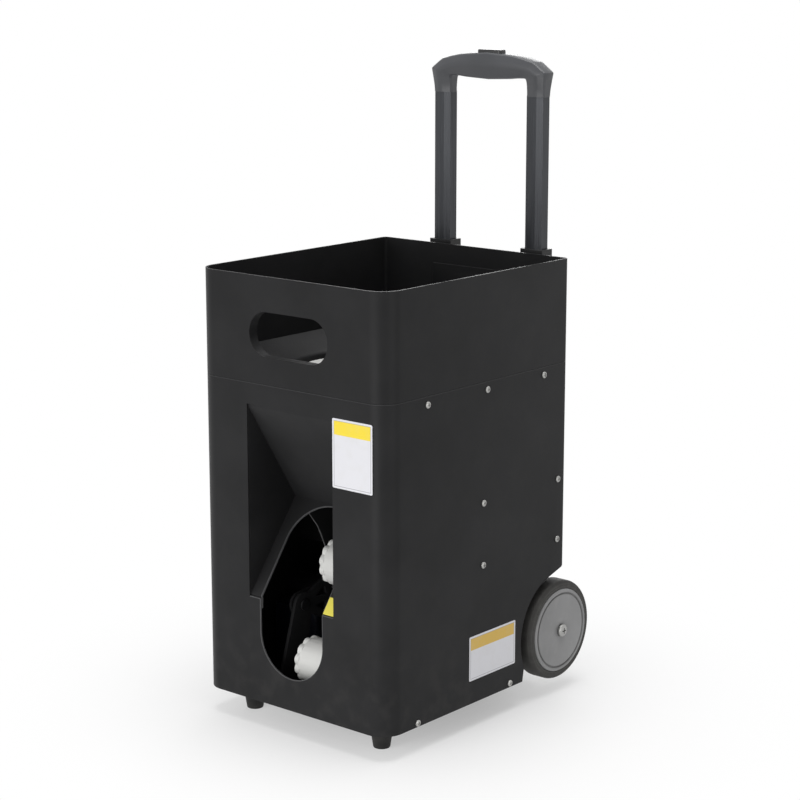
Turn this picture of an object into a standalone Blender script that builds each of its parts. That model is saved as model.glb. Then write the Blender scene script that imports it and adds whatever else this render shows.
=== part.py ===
"""Padel ball machine: open hopper, five-pocket ball feed, tilting two-wheel launcher, case on four feet,
two transport wheels and a trolley handle.

Units are metres, +Z is up, the front faces -Y and the ground is Z = 0.
Depths are measured from the front face towards the back.
"""
import math

import bmesh
import bpy
from mathutils import Matrix, Vector

# Ball and fits
BALL_D = 0.066
GAP = 0.0003            # between pieces that touch
RUN = 0.0003            # a pin or shaft in its hole, on the radius
SHEET = 0.002

# Case
BODY_W = 0.274
BODY_D = 0.320
BODY_Z = 0.029          # lower edge of the case
SEAM_Z = 0.3933         # top of the case, where the hopper starts
RIM_Z = 0.512
FRONT_R = 0.025
REAR_R = 0.006
RETURN_W = 0.016        # flange that closes the back corner
SKIRT_H = 0.0216        # hopper skirt inside the case

# Launch opening and its recess
OPEN_W = 0.125
OPEN_Z0 = 0.150
OPEN_Z1 = 0.369
RIDGE_DEPTH = 0.073     # where the two slopes meet
RIDGE_Z = 0.251
CHEEK_DRAFT = 0.003
SLOT_R = 0.046          # U slot and the arch above it
SLOT_Z = 0.112
ARCH_RUN = 0.075        # straight length of the arch up the lower slope
RECESS_LIP = 0.012

# Hand slot
HAND_W = 0.114
HAND_H = 0.0495
HAND_Z = 0.4487
HAND_LIP = 0.010

# Launcher
NIP_DEPTH = 0.065
NIP_Z = 0.1285
LAUNCH_TILT = 22.0
TILT_DOWN = 20.0
TILT_UP = 16.0
LAUNCH_R = 0.0265       # to the tips of the lobes
LOBE_DEPTH = 0.0024
LOBES = 12
LAUNCH_W = 0.024        # from the lobed end to the far side of the ball's track
LOBE_W = 0.006          # lobed flange at the end away from the motor
DRUM_DROP = 0.0008      # smooth drum below the tips of the lobes
DRUM_OUT = 0.014        # drum past the ball's track, towards the motor
DRUM_EDGE = 0.0012
NIP_GAP = 0.0596
BOSS_R = 0.009
SHAFT_R = 0.0025
CRADLE_X = 0.040        # inner face of the cradle's side plates
CRADLE_T = 0.004
TIE_R = 0.0035
TIE_DROP = 0.089
ARM_X = 0.048           # inner face of the frame's arms
ARM_T = 0.003
PIVOT_R = 0.004
MOTOR_R = 0.018
MOTOR_L = 0.048
FRAME_DEPTH = 0.156     # front face of the cross frame
FRAME_T = 0.003
FRAME_Z0 = 0.172
FRAME_Z1 = 0.272
FRAME_FLANGE = 0.018
PIVOT_HEAD_R = 0.007
PIVOT_HEAD_H = 0.004

# Elevation gears
GEAR_MODULE = 0.0015
SECTOR_TEETH = 64       # of the full circle
PINION_TEETH = 12
BACKLASH = 0.0002
GEARMOTOR_R = 0.017
GEARMOTOR_BOSS_R = 0.005
GEARBOX_L = 0.022
ELEVATION_MOTOR_R = 0.014
ELEVATION_MOTOR_L = 0.030
PINION_SHAFT_L = 0.016

# Ball feed
WELL_DROP = 0.035
FUNNEL_RIM = 0.0222     # height of the funnel's rim over the seam
FUNNEL_FALL = 0.021
FLOOR_T = 0.0025
POCKETS = 5
POCKET_PLAY = 0.0035    # round the ball, on the radius
POCKET_WEB = 0.00929    # feed wheel between two pockets, at its thinnest
BALL_OUT = 0.005        # from the ball to the well's wall
FEED_WHEEL_PLAY = 0.0035
FEED_WHEEL_H = 0.0295
GUARD_RISE = 0.030      # drop guard's back flange over its shelf
GUARD_FLANGE = 0.028
FEED_LIFT = 0.0015
FEED_MOTOR_R = 0.0185
FEED_MOTOR_STEP = 0.002 # gearbox wider than the motor under it, on the radius
FEED_GEARBOX_L = 0.026
FEED_MOTOR_L = 0.030
FEED_SHAFT_R = 0.003
FEED_SHAFT_SEAT = 0.016
FEED_BORE_DEPTH = 0.018
CAP_H = 0.036
CHUTE_WALL = 0.002
CHUTE_SIDE = 0.0025     # play beside the ball
RAMP_SLOPE = 12.0
RAMP_R = 0.070
LIP_DEPTH = 0.098
LIP_Z = 0.086

# Feet, transport wheels and axle
FOOT_IN = 0.041         # front feet, in from the side and from the front
REAR_FOOT_X = 0.046
REAR_FOOT_IN = 0.048    # in from the back
FOOT_R0 = 0.0095
FOOT_R1 = 0.014
TRAY_FLANGE = 0.016     # upturned edge of the tray
WHEEL_IN = 0.012        # axle, in from the back
WHEEL_Z = 0.0755
TYRE_R = 0.0586
HUB_R = 0.049
WHEEL_W = 0.028
WHEEL_OUT = 0.005       # outer face stands proud of the side
NOTCH_R = 0.070
NOTCH_TOP = 0.151
AXLE_R = 0.005
CAP_R = 0.0075
CAP_OUT = 0.004
CAP_SHANK_R = 0.0024
CAP_SHANK_L = 0.011
SHOULDER_R = 0.008      # axle between the wheel well and the hub
AXLE_OUT = 0.001        # end of the axle, past the wheel's outer face
HUB_BOSS_R = 0.012
HUB_BEAD = 0.003        # step of the hub's rim that the tyre sits on
BRACKET_T = 0.004
BRACKET_HALF = 0.011
BRACKET_FOOT_T = 0.003
BRACKET_FOOT_L = 0.016
WELL_WALL = 0.0015
WELL_PLAY = 0.0057      # room behind the wheel

# Trolley handle
TUBE_X = 0.0677
TUBE_BACK = 0.0303      # middle of the tubes, behind the case
TUBE_W = 0.0235
TUBE_T = 0.015
TUBE_FLAT = 0.006       # flat strip down the middle of the front and the back
TUBE_FALL = 0.0015      # fall from that strip to the sides
TUBE_WALL = 0.0012
SLEEVE_PLAY = 0.0004
SLEEVE_WALL = 0.0015
SLEEVE_Z0 = 0.100
SLEEVE_Z1 = 0.505
BRACKET_UPPER_Z = 0.455
BRACKET_UPPER_H = 0.030
BRACKET_LOWER_Z = 0.160
BRACKET_LOWER_H = 0.025
HANDLE_DOWN = 0.172
GRIP_Z = 0.689          # joint of tubes and grip
GRIP_H = 0.047
GRIP_BAR_W = 0.0285     # crossbar in the middle, upright and deep
GRIP_BAR_T = 0.0265
BUTTON_W = 0.040
BUTTON_T = 0.014
BUTTON_OUT = 0.003
BUTTON_TRAVEL = 0.0025

# Power and controls
BATTERY_W = 0.066
BATTERY_D = 0.130
BATTERY_H = 0.074
BATTERY_R = 0.004
BATTERY_SIDE = 0.0117   # room for the strap's foot beside the battery
BATTERY_BACK = 0.0035   # from the battery to the wheel well
STRAP_W = 0.020
STRAP_T = 0.0015
STRAP_FOOT = 0.009
PANEL_FLANGE = 0.030    # rear panel's sides, forwards
VENTS = 6
VENT_W = 0.044
VENT_H = 0.004
VENT_PITCH = 0.010
VENT_Z = 0.190
KNOB_R = 0.009
KNOB_TIP_R = 0.0072
KNOB_H = 0.0135
KNOB_RIM = 0.002        # height of the knob's skirt
KNOB_PLAY = 0.0006      # from the knob to the panel
SPINDLE_R = 0.0028
SPINDLE_HOLE_R = 0.0036
SPINDLE_L = 0.010
POINTER_W = 0.0016
KNOB_X = 0.030
BOARD_W = 0.096
BOARD_T = 0.0016
BOARD_BACK = 0.0115     # board behind the panel
BOARD_UP = 0.018        # edges of the board from the knobs' middle
BOARD_DOWN = 0.020
POT_W = 0.016
KNOB_DROP = 0.0583      # knobs below the seam
SWITCH_DROP = 0.050     # switch and socket below the knobs
SWITCH_X = 0.022
SWITCH_W = 0.026        # switch body in the panel's hole
SWITCH_H = 0.020
SWITCH_L = 0.018
SWITCH_WALL = 0.0015
BEZEL = 0.002           # bezel round and in front of the switch body
SOCKET_R = 0.0055
SOCKET_RIM_R = 0.008
SOCKET_BORE_R = 0.003
SOCKET_L = 0.016
SOCKET_DEPTH = 0.012

# Places that follow from the sizes
FRONT_Y = -(BODY_D - WHEEL_IN + TYRE_R) / 2
REAR_Y = FRONT_Y + BODY_D
HALF_W = BODY_W / 2
INNER_X = HALF_W - SHEET - GAP
PANEL_Y = REAR_Y - SHEET - GAP
NIP_Y = FRONT_Y + NIP_DEPTH
WHEEL_REACH = LAUNCH_R + NIP_GAP / 2
FEED_Y = FRONT_Y + BODY_D / 2
POCKET_R = BALL_D / 2 + POCKET_PLAY
PITCH_R = (POCKET_R + POCKET_WEB / 2) / math.sin(math.pi / POCKETS)
WELL_R = PITCH_R + BALL_D / 2 + BALL_OUT
FEED_WHEEL_R = WELL_R - FEED_WHEEL_PLAY
DROP_Y = FEED_Y + PITCH_R
SEAT_Z = SEAM_Z + GAP + SHEET
FUNNEL_Z = SEAM_Z + FUNNEL_RIM
WELL_TOP = FUNNEL_Z - FUNNEL_FALL
WELL_FLOOR = WELL_TOP - WELL_DROP - SHEET
TRAY_Z = BODY_Z + 0.001
TRAY_TOP = TRAY_Z + SHEET
WHEEL_Y = REAR_Y - WHEEL_IN
WHEEL_MID = HALF_W + WHEEL_OUT - WHEEL_W / 2
WELL_X = WHEEL_MID - WHEEL_W / 2 - WELL_PLAY - WELL_WALL
TUBE_Y = REAR_Y + TUBE_BACK
GRIP_TOP = GRIP_Z + GRIP_H
KNOB_Z = SEAM_Z - KNOB_DROP
SWITCH_Z = KNOB_Z - SWITCH_DROP
CHUTE_X = BALL_D / 2 + CHUTE_SIDE
SECTOR_R = GEAR_MODULE * SECTOR_TEETH / 2
PINION_R = GEAR_MODULE * PINION_TEETH / 2
PINION_Y = NIP_Y + SECTOR_R + PINION_R

MATERIALS = {
    "black_sheet": ((0.030, 0.030, 0.033), 0.55, 0.0),
    "black_plastic": ((0.025, 0.025, 0.027), 0.50, 0.0),
    "white_plastic": ((0.72, 0.72, 0.69), 0.45, 0.0),
    "steel": ((0.55, 0.55, 0.57), 0.35, 1.0),
    "zinc": ((0.62, 0.62, 0.60), 0.40, 1.0),
    "motor_can": ((0.10, 0.10, 0.11), 0.40, 1.0),
    "handle_tube": ((0.17, 0.17, 0.19), 0.40, 0.6),
    "grip_plastic": ((0.06, 0.06, 0.07), 0.50, 0.0),
    "hub_grey": ((0.24, 0.24, 0.25), 0.50, 0.0),
    "tyre_rubber": ((0.085, 0.085, 0.082), 0.80, 0.0),
    "foot_rubber": ((0.020, 0.020, 0.020), 0.85, 0.0),
    "board_green": ((0.03, 0.16, 0.08), 0.50, 0.0),
    "battery_blue": ((0.05, 0.09, 0.22), 0.50, 0.0),
    "switch_black": ((0.015, 0.015, 0.016), 0.35, 0.0),
}


def clear_scene():
    for old in list(bpy.data.objects):
        bpy.data.objects.remove(old, do_unlink=True)


def material(name):
    found = bpy.data.materials.get(name)
    if found:
        return found
    colour, roughness, metallic = MATERIALS[name]
    made = bpy.data.materials.new(name)
    made.use_nodes = True
    shader = made.node_tree.nodes["Principled BSDF"]
    shader.inputs["Base Color"].default_value = (*colour, 1.0)
    shader.inputs["Roughness"].default_value = roughness
    shader.inputs["Metallic"].default_value = metallic
    return made


def solid(bm):
    """A closed bmesh as a scene object, still without a name of its own."""
    bmesh.ops.recalc_face_normals(bm, faces=bm.faces)
    mesh = bpy.data.meshes.new("solid")
    bm.to_mesh(mesh)
    bm.free()
    made = bpy.data.objects.new("solid", mesh)
    bpy.context.scene.collection.objects.link(made)
    return made


def loft(rings, closed=False):
    """Skin a row of rings of points, with end caps unless the row closes on itself."""
    bm = bmesh.new()
    loops = [[bm.verts.new(point) for point in ring] for ring in rings]
    count = len(loops[0])
    pairs = list(zip(loops, loops[1:]))
    if closed:
        pairs.append((loops[-1], loops[0]))
    for low, high in pairs:
        for i in range(count):
            j = (i + 1) % count
            bm.faces.new((low[i], low[j], high[j], high[i]))
    if not closed:
        bm.faces.new(loops[0])
        bm.faces.new(loops[-1])
    return solid(bm)


def along(axis, low, high, point):
    """Two 3-D points of an outline point, at the ends of an extrusion along an axis."""
    u, v = point
    if axis == "X":
        return (low, u, v), (high, u, v)
    if axis == "Y":
        return (u, low, v), (u, high, v)
    return (u, v, low), (u, v, high)


def prism(outline, axis, low, high):
    """Outline in (y, z), (x, z) or (x, y), extruded along X, Y or Z."""
    ends = [along(axis, low, high, point) for point in outline]
    return loft([[end[0] for end in ends], [end[1] for end in ends]])


def block(x0, x1, y0, y1, z0, z1):
    return prism([(x0, y0), (x1, y0), (x1, y1), (x0, y1)], "Z", z0, z1)


def turned(profile, axis, centre, segments=20):
    """Closed profile of (radius, height) turned about a line through the centre along X, Y or Z."""
    bm = bmesh.new()
    origin = Vector(centre)
    rings = []
    for radius, height in profile:
        ring = []
        for i in range(segments if radius > 0 else 1):
            turn = 2 * math.pi * i / segments
            u, v = radius * math.cos(turn), radius * math.sin(turn)
            place = {"X": (height, u, v), "Y": (v, height, u), "Z": (u, v, height)}[axis]
            ring.append(bm.verts.new(origin + Vector(place)))
        rings.append(ring)
    for low, high in zip(rings, rings[1:] + rings[:1]):
        for i in range(segments):
            j = (i + 1) % segments
            corners = [low[i % len(low)], low[j % len(low)], high[j % len(high)], high[i % len(high)]]
            corners = list(dict.fromkeys(corners))
            if len(corners) > 2:
                bm.faces.new(corners)
    return solid(bm)


def rod(axis, centre, radius, low, high, segments=16):
    return turned([(0, low), (radius, low), (radius, high), (0, high)], axis, centre, segments)


def arc(cx, cy, radius, start, end, steps):
    points = []
    for i in range(steps + 1):
        turn = math.radians(start + (end - start) * i / steps)
        points.append((cx + radius * math.cos(turn), cy + radius * math.sin(turn)))
    return points


def rounded(x0, x1, y0, y1, low_r, high_r, steps=5):
    """Rectangle with one corner radius at its low-y side and one at its high-y side."""
    right = arc(x1 - low_r, y0 + low_r, low_r, -90, 0, steps)
    right += arc(x1 - high_r, y1 - high_r, high_r, 0, 90, steps)
    left = arc(x0 + high_r, y1 - high_r, high_r, 90, 180, steps)
    left += arc(x0 + low_r, y0 + low_r, low_r, 180, 270, steps)
    return right + left


def body_plan(inset):
    """Outline of the case seen from above, drawn in by an inset."""
    return rounded(-HALF_W + inset, HALF_W - inset, FRONT_Y + inset, REAR_Y - inset,
                   FRONT_R - inset, max(REAR_R - inset, 0.001))


def hull(circles, steps=16):
    """Convex outline round some circles (x, y, radius)."""
    points = set()
    for cx, cy, radius in circles:
        points.update((round(x, 7), round(y, 7)) for x, y in arc(cx, cy, radius, 0, 360, steps)[:-1])
    ordered = sorted(points)

    def half(row):
        chain = []
        for point in row:
            while len(chain) > 1:
                (ax, ay), (bx, by) = chain[-2], chain[-1]
                if (bx - ax) * (point[1] - ay) - (by - ay) * (point[0] - ax) > 0:
                    break
                chain.pop()
            chain.append(point)
        return chain[:-1]

    return half(ordered) + half(ordered[::-1])


def boolean(target, tools, operation):
    """Cut or join tools into the target, and leave one plain mesh."""
    for tool in tools:
        modifier = target.modifiers.new(operation.lower(), "BOOLEAN")
        modifier.operation = operation
        modifier.solver = "EXACT"
        modifier.object = tool
    graph = bpy.context.evaluated_depsgraph_get()
    graph.update()
    result = bpy.data.meshes.new_from_object(target.evaluated_get(graph))
    target.modifiers.clear()
    target.data = result
    for tool in tools:
        bpy.data.objects.remove(tool, do_unlink=True)
    return target


def cut(target, *tools):
    return boolean(target, tools, "DIFFERENCE")


def join(target, *tools):
    return boolean(target, tools, "UNION")


def finish(made, name, finish_name, smooth=35):
    made.name = name
    made.data.name = name
    made.data.materials.clear()
    made.data.materials.append(material(finish_name))
    made.data.shade_smooth()
    made.data.set_sharp_from_angle(angle=math.radians(smooth))
    return made


def pivot_at(made, point):
    """Put a moving piece's origin on its joint, with its shape left in place."""
    made.data.transform(Matrix.Translation(-Vector(point)))
    made.location = point
    return made


def mirrored(made, name, finish_name):
    """Copy of a piece, mirrored to the other side of the machine."""
    mesh = made.data.copy()
    mesh.transform(Matrix.Scale(-1, 4, (1, 0, 0)))
    mesh.flip_normals()
    other = bpy.data.objects.new(name, mesh)
    bpy.context.scene.collection.objects.link(other)
    other.location = (-made.location[0], made.location[1], made.location[2])
    return finish(other, name, finish_name)


def pair(make, name, finish_name):
    """A right-hand piece and its mirror image."""
    right = finish(make(), name + "_right", finish_name)
    mirrored(right, name + "_left", finish_name)


def notch(offset):
    """Side view of the room round a transport wheel, widened by an offset."""
    radius = NOTCH_R + offset
    top = NOTCH_TOP + offset
    return ([(WHEEL_Y - NOTCH_R - offset, BODY_Z - 0.02)]
            + arc(WHEEL_Y, WHEEL_Z, radius, 205, 105, 10)
            + [(REAR_Y - 0.006, top - 0.001), (REAR_Y - 0.002, top + 0.001), (REAR_Y + 0.02, top + 0.012)]
            + [(REAR_Y + 0.02, BODY_Z - 0.02)])


def launch_outline():
    """Front opening with the narrower U slot below it, seen from the front."""
    half = OPEN_W / 2
    return ([(half, OPEN_Z1), (half, OPEN_Z0), (SLOT_R, OPEN_Z0)] + arc(0, SLOT_Z, SLOT_R, 0, -180, 18)
            + [(-SLOT_R, OPEN_Z0), (-half, OPEN_Z0), (-half, OPEN_Z1)])


def housing_shell():
    shell = prism(body_plan(0), "Z", BODY_Z, SEAM_Z)
    inside = prism(body_plan(SHEET), "Z", BODY_Z - 0.01, SEAM_Z + 0.01)
    opening = HALF_W - RETURN_W
    back = block(-opening, opening, REAR_Y - 0.01, REAR_Y + 0.01, BODY_Z - 0.01, SEAM_Z + 0.01)
    mouth = prism(launch_outline(), "Y", FRONT_Y - 0.01, FRONT_Y + 0.01)
    wheels = prism(notch(0), "X", -HALF_W - 0.01, HALF_W + 0.01)
    finish(cut(shell, inside, back, mouth, wheels), "housing_shell", "black_sheet")


def recess_wedge(grow, front):
    """Triangular space between the two slopes, from a plane in front back to the ridge."""
    half = OPEN_W / 2 + grow
    ridge_half = half - CHEEK_DRAFT
    ridge = FRONT_Y + RIDGE_DEPTH + grow
    run = ridge - front
    grow_z = grow * 0.6
    top = RIDGE_Z + (OPEN_Z1 - RIDGE_Z) / RIDGE_DEPTH * run + grow_z
    low = RIDGE_Z - (RIDGE_Z - OPEN_Z0) / RIDGE_DEPTH * run - grow_z
    rings = []
    for front_z, ridge_z in ((top, RIDGE_Z + grow_z), (low, RIDGE_Z - grow_z - 0.00001)):
        rings.append([(-half, front, front_z), (half, front, front_z),
                      (ridge_half, ridge, ridge_z), (-ridge_half, ridge, ridge_z)])
    return loft(rings)


def launch_recess():
    back = FRONT_Y + SHEET + GAP
    half = OPEN_W / 2 + RECESS_LIP
    lip = block(-half, half, back, back + SHEET, OPEN_Z0 - RECESS_LIP, SEAM_Z - SKIRT_H - GAP)
    body = join(recess_wedge(SHEET, back), lip)
    length = math.hypot(RIDGE_DEPTH, RIDGE_Z - OPEN_Z0)
    down = Vector((0, -RIDGE_DEPTH, OPEN_Z0 - RIDGE_Z)) / length
    normal = Vector((0, -down[2], down[1]))
    foot = Vector((0, FRONT_Y, OPEN_Z0))
    outline = [(SLOT_R, -0.08)] + arc(0, ARCH_RUN, SLOT_R, 0, 180, 18) + [(-SLOT_R, -0.08)]
    rings = []
    for reach in (-0.012, 0.012):
        rings.append([foot + Vector((u, 0, 0)) - down * v + normal * reach for u, v in outline])
    slot = prism([(-SLOT_R, SLOT_Z - 0.05), (SLOT_R, SLOT_Z - 0.05), (SLOT_R, OPEN_Z0), (-SLOT_R, OPEN_Z0)],
                 "Y", FRONT_Y - 0.01, back + SHEET + 0.01)
    finish(cut(body, recess_wedge(0, FRONT_Y - 0.01), loft(rings), slot), "launch_recess", "black_sheet")


def stadium(grow):
    half = HAND_W / 2 + grow
    radius = HAND_H / 2 + grow
    return arc(half - radius, HAND_Z, radius, -90, 90, 10) + arc(radius - half, HAND_Z, radius, 90, 270, 10)


def hopper():
    edge = 0.0006
    rings = [(edge, SEAM_Z + GAP), (0, SEAM_Z + GAP + edge), (0, RIM_Z - edge), (edge, RIM_Z)]
    upper = loft([[(x, y, z) for x, y in body_plan(inset)] for inset, z in rings])
    skirt_top = SEAM_Z + GAP + SHEET / 2
    skirt = prism(body_plan(SHEET + GAP), "Z", SEAM_Z - SKIRT_H, skirt_top)
    lip = prism(stadium(SHEET * 0.75), "Y", FRONT_Y + SHEET / 2, FRONT_Y + SHEET + HAND_LIP)
    bin_space = prism(body_plan(SHEET), "Z", SEAT_Z, RIM_Z + 0.01)
    well_space = prism(body_plan(2 * SHEET + GAP), "Z", SEAM_Z - SKIRT_H - 0.01, RIM_Z)
    walls = cut(join(upper, skirt), bin_space, well_space)
    slot = prism(stadium(0), "Y", FRONT_Y - 0.01, FRONT_Y + SHEET + HAND_LIP + 0.01)
    finish(cut(join(walls, lip), slot), "hopper", "black_sheet")


def plan_points(inset):
    """The case's outline with extra points along its straight sides, for skinning onto a circle."""
    half_x, half_y = HALF_W - inset, BODY_D / 2 - inset
    front, rear = FRONT_R - inset, max(REAR_R - inset, 0.001)
    corners = [arc(half_x - front, front - half_y, front, -90, 0, 4),
               arc(half_x - rear, half_y - rear, rear, 0, 90, 2),
               arc(rear - half_x, half_y - rear, rear, 90, 180, 2),
               arc(front - half_x, front - half_y, front, 180, 270, 4)]
    points = []
    for corner, following in zip(corners, corners[1:] + corners[:1]):
        (x0, y0), (x1, y1) = corner[-1], following[0]
        points += corner
        points += [(x0 + (x1 - x0) * share, y0 + (y1 - y0) * share) for share in (0.2, 0.36, 0.5, 0.64, 0.8)]
    return points


def plan_ring(inset, height):
    return [(x, FEED_Y + y, height) for x, y in plan_points(inset)]


def circle_ring(radius, height):
    turns = [math.atan2(y, x) for x, y in plan_points(SHEET + GAP)]
    return [(radius * math.cos(t), FEED_Y + radius * math.sin(t), height) for t in turns]


def hopper_floor():
    """Funnel from the case's outline down to the round well that the feed wheel turns in."""
    inset = SHEET + GAP
    wall = FLOOR_T
    bottom = SEAT_Z + GAP
    rings = [plan_ring(inset, bottom), plan_ring(inset, FUNNEL_Z), circle_ring(WELL_R, WELL_TOP),
             circle_ring(WELL_R, WELL_FLOOR),
             circle_ring(0.008, WELL_FLOOR), circle_ring(0.008, WELL_FLOOR - wall),
             circle_ring(WELL_R + wall, WELL_FLOOR - wall), circle_ring(WELL_R + wall, WELL_TOP - wall),
             plan_ring(inset + wall, FUNNEL_Z - wall), plan_ring(inset + wall, bottom)]
    hole = rod("Z", (0, DROP_Y, 0), POCKET_R, WELL_FLOOR - 0.01, WELL_FLOOR + 0.001, 28)
    finish(cut(loft(rings, closed=True), hole), "hopper_floor", "black_plastic")


def drop_guard():
    """Shelf over the drop hole, so that only the ball in the pocket falls."""
    clear = WELL_FLOOR + BALL_D + 0.007
    back = REAR_Y - SHEET - GAP
    front = DROP_Y - PITCH_R * 0.62
    half = BALL_D * 0.9
    bend = clear + GUARD_RISE
    top = bend + GUARD_FLANGE
    section = [(back, bend), (back, top), (back - SHEET, top), (back - SHEET, bend + SHEET),
               (front, clear + SHEET), (front - 0.004, clear - 0.002),
               (front - 0.004 + SHEET, clear - 0.0035), (front + SHEET, clear)]
    finish(prism(section, "X", -half, half), "drop_guard", "black_sheet")


def feed_wheel():
    low = WELL_FLOOR + FEED_LIFT
    high = low + FEED_WHEEL_H
    bore = FEED_SHAFT_R + RUN
    section = [(bore, low), (FEED_WHEEL_R, low), (FEED_WHEEL_R, high), (bore, high)]
    star = turned(section, "Z", (0, FEED_Y, 0), 50)
    pockets = []
    for i in range(POCKETS):
        turn = math.radians(90 + 360 * i / POCKETS)
        centre = (PITCH_R * math.cos(turn), FEED_Y + PITCH_R * math.sin(turn), 0)
        pockets.append(rod("Z", centre, POCKET_R, low - 0.01, high + 0.01, 22))
    made = finish(cut(star, *pockets), "feed_wheel", "white_plastic")
    pivot_at(made, (0, FEED_Y, low))


def feed_cap():
    base = WELL_FLOOR + FEED_LIFT + FEED_WHEEL_H + GAP
    radius = PITCH_R - POCKET_R - 0.004
    turns = [math.radians(degrees) for degrees in range(0, 90, 18)]
    dome = [(radius * math.cos(turn), base + CAP_H * math.sin(turn)) for turn in turns]
    cap = turned([(0, base)] + dome + [(0, base + CAP_H)], "Z", (0, FEED_Y, 0), 24)
    pivot_at(finish(cap, "feed_cap", "black_plastic"), (0, FEED_Y, base))


def feed_drive():
    top = WELL_FLOOR - FLOOR_T - GAP
    bore = FEED_SHAFT_R + RUN
    motor_r = FEED_MOTOR_R - FEED_MOTOR_STEP
    gearbox = top - FEED_GEARBOX_L
    end = gearbox - FEED_MOTOR_L
    depth = top - FEED_BORE_DEPTH
    profile = [(bore, depth), (bore, top), (FEED_MOTOR_R, top), (FEED_MOTOR_R, gearbox),
               (motor_r, gearbox), (motor_r, end), (0, end), (0, depth)]
    finish(turned(profile, "Z", (0, FEED_Y, 0)), "feed_gearmotor", "motor_can")
    shaft_top = WELL_FLOOR + FEED_LIFT + FEED_WHEEL_H
    shaft = rod("Z", (0, FEED_Y, 0), FEED_SHAFT_R, top - FEED_SHAFT_SEAT, shaft_top, 12)
    pivot_at(finish(shaft, "feed_shaft", "steel"), (0, FEED_Y, top))


def ramp_path(offset):
    """Side view of the chute's floor: a gentle slope, then a bend up to the back wall."""
    slope = math.radians(RAMP_SLOPE)
    back = DROP_Y + CHUTE_X
    centre_y = back - RAMP_R
    start_y = FRONT_Y + LIP_DEPTH
    tangent_y = centre_y + RAMP_R * math.sin(slope)
    tangent_z = LIP_Z + (tangent_y - start_y) * math.tan(slope)
    centre_z = tangent_z + RAMP_R * math.cos(slope)
    lip = (start_y + offset * math.sin(slope), LIP_Z - offset * math.cos(slope))
    bend = arc(centre_y, centre_z, RAMP_R + offset, RAMP_SLOPE - 90, 0, 7)
    return [lip] + bend + [(back + offset, WELL_FLOOR - FLOOR_T - GAP)]


def chute_side(front_edge):
    """Side plate: the chute's floor and back, its top, the front of the drop and a chosen front edge."""
    top = WELL_FLOOR - FLOOR_T - GAP
    throat = DROP_Y - CHUTE_X - CHUTE_WALL
    return ramp_path(CHUTE_WALL) + [(throat, top), (throat, FRAME_Z0 + 0.066)] + front_edge


def ball_chute():
    low, high = ramp_path(CHUTE_WALL), ramp_path(0)
    floor = prism(low + high[::-1], "X", -CHUTE_X - CHUTE_WALL, CHUTE_X + CHUTE_WALL)
    guide_y, guide_z = FRONT_Y + LIP_DEPTH + 0.013, NIP_Z + 0.003
    left_edge = [(NIP_Y + 0.003, FRAME_Z0 + 0.066)] + arc(guide_y - 0.219, guide_z - 0.021, 0.220, 29, 5.5, 6)
    left_edge += [(FRONT_Y + LIP_DEPTH, LIP_Z + 0.012)]
    right_edge = [(FRONT_Y + LIP_DEPTH + 0.032, FRAME_Z0 + 0.050), (FRONT_Y + LIP_DEPTH + 0.022, NIP_Z + 0.022),
                  (FRONT_Y + LIP_DEPTH, LIP_Z + 0.012)]
    left = prism(chute_side(left_edge), "X", -CHUTE_X - CHUTE_WALL, -CHUTE_X)
    right = prism(chute_side(right_edge), "X", CHUTE_X, CHUTE_X + CHUTE_WALL)
    top = WELL_FLOOR - FLOOR_T - GAP
    drop = DROP_Y - CHUTE_X
    front = block(-CHUTE_X - CHUTE_WALL, CHUTE_X + CHUTE_WALL, drop - CHUTE_WALL, drop, FRAME_Z0 + 0.040, top)
    lip = block(-CHUTE_X - 0.012, CHUTE_X + 0.012, drop - 0.010, DROP_Y + CHUTE_X + 0.010, top - SHEET, top)
    throat = block(-CHUTE_X, CHUTE_X, drop, DROP_Y + CHUTE_X, top - 0.01, top + 0.01)
    legs = []
    for depth in (LIP_DEPTH + 0.022, LIP_DEPTH + 0.106):
        leg_y = FRONT_Y + depth
        reach = LIP_Z + (depth - LIP_DEPTH) * math.tan(math.radians(RAMP_SLOPE)) - CHUTE_WALL / 2
        legs.append(block(-0.030, 0.030, leg_y, leg_y + 0.003, TRAY_TOP + GAP, reach))
        legs.append(block(-0.030, 0.030, leg_y, leg_y + 0.014, TRAY_TOP + GAP, TRAY_TOP + GAP + SHEET))
    chute = cut(join(floor, left, right, front, lip), throat)
    finish(join(chute, *legs), "ball_chute", "black_plastic")


def base_tray():
    back = REAR_Y - 2 * SHEET - 2 * GAP
    inset = SHEET + GAP
    flange_top = TRAY_Z + TRAY_FLANGE
    outer = rounded(-HALF_W + inset, HALF_W - inset, FRONT_Y + inset, back, FRONT_R - inset, 0.001)
    inset += SHEET
    inner = rounded(-HALF_W + inset, HALF_W - inset, FRONT_Y + inset, back + 0.02, FRONT_R - inset, 0.001)
    tray = prism(outer, "Z", TRAY_Z, flange_top)
    wheel_room = WHEEL_Y - NOTCH_R - WELL_WALL - GAP
    tools = [prism(inner, "Z", TRAY_TOP, flange_top + 0.01)]
    for side in (-1, 1):
        x0, x1 = sorted((side * (WELL_X - GAP), side * (HALF_W + 0.01)))
        tools.append(block(x0, x1, wheel_room, REAR_Y + 0.01, TRAY_Z - 0.01, flange_top + 0.01))
    finish(cut(tray, *tools), "base_tray", "black_sheet")


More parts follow.
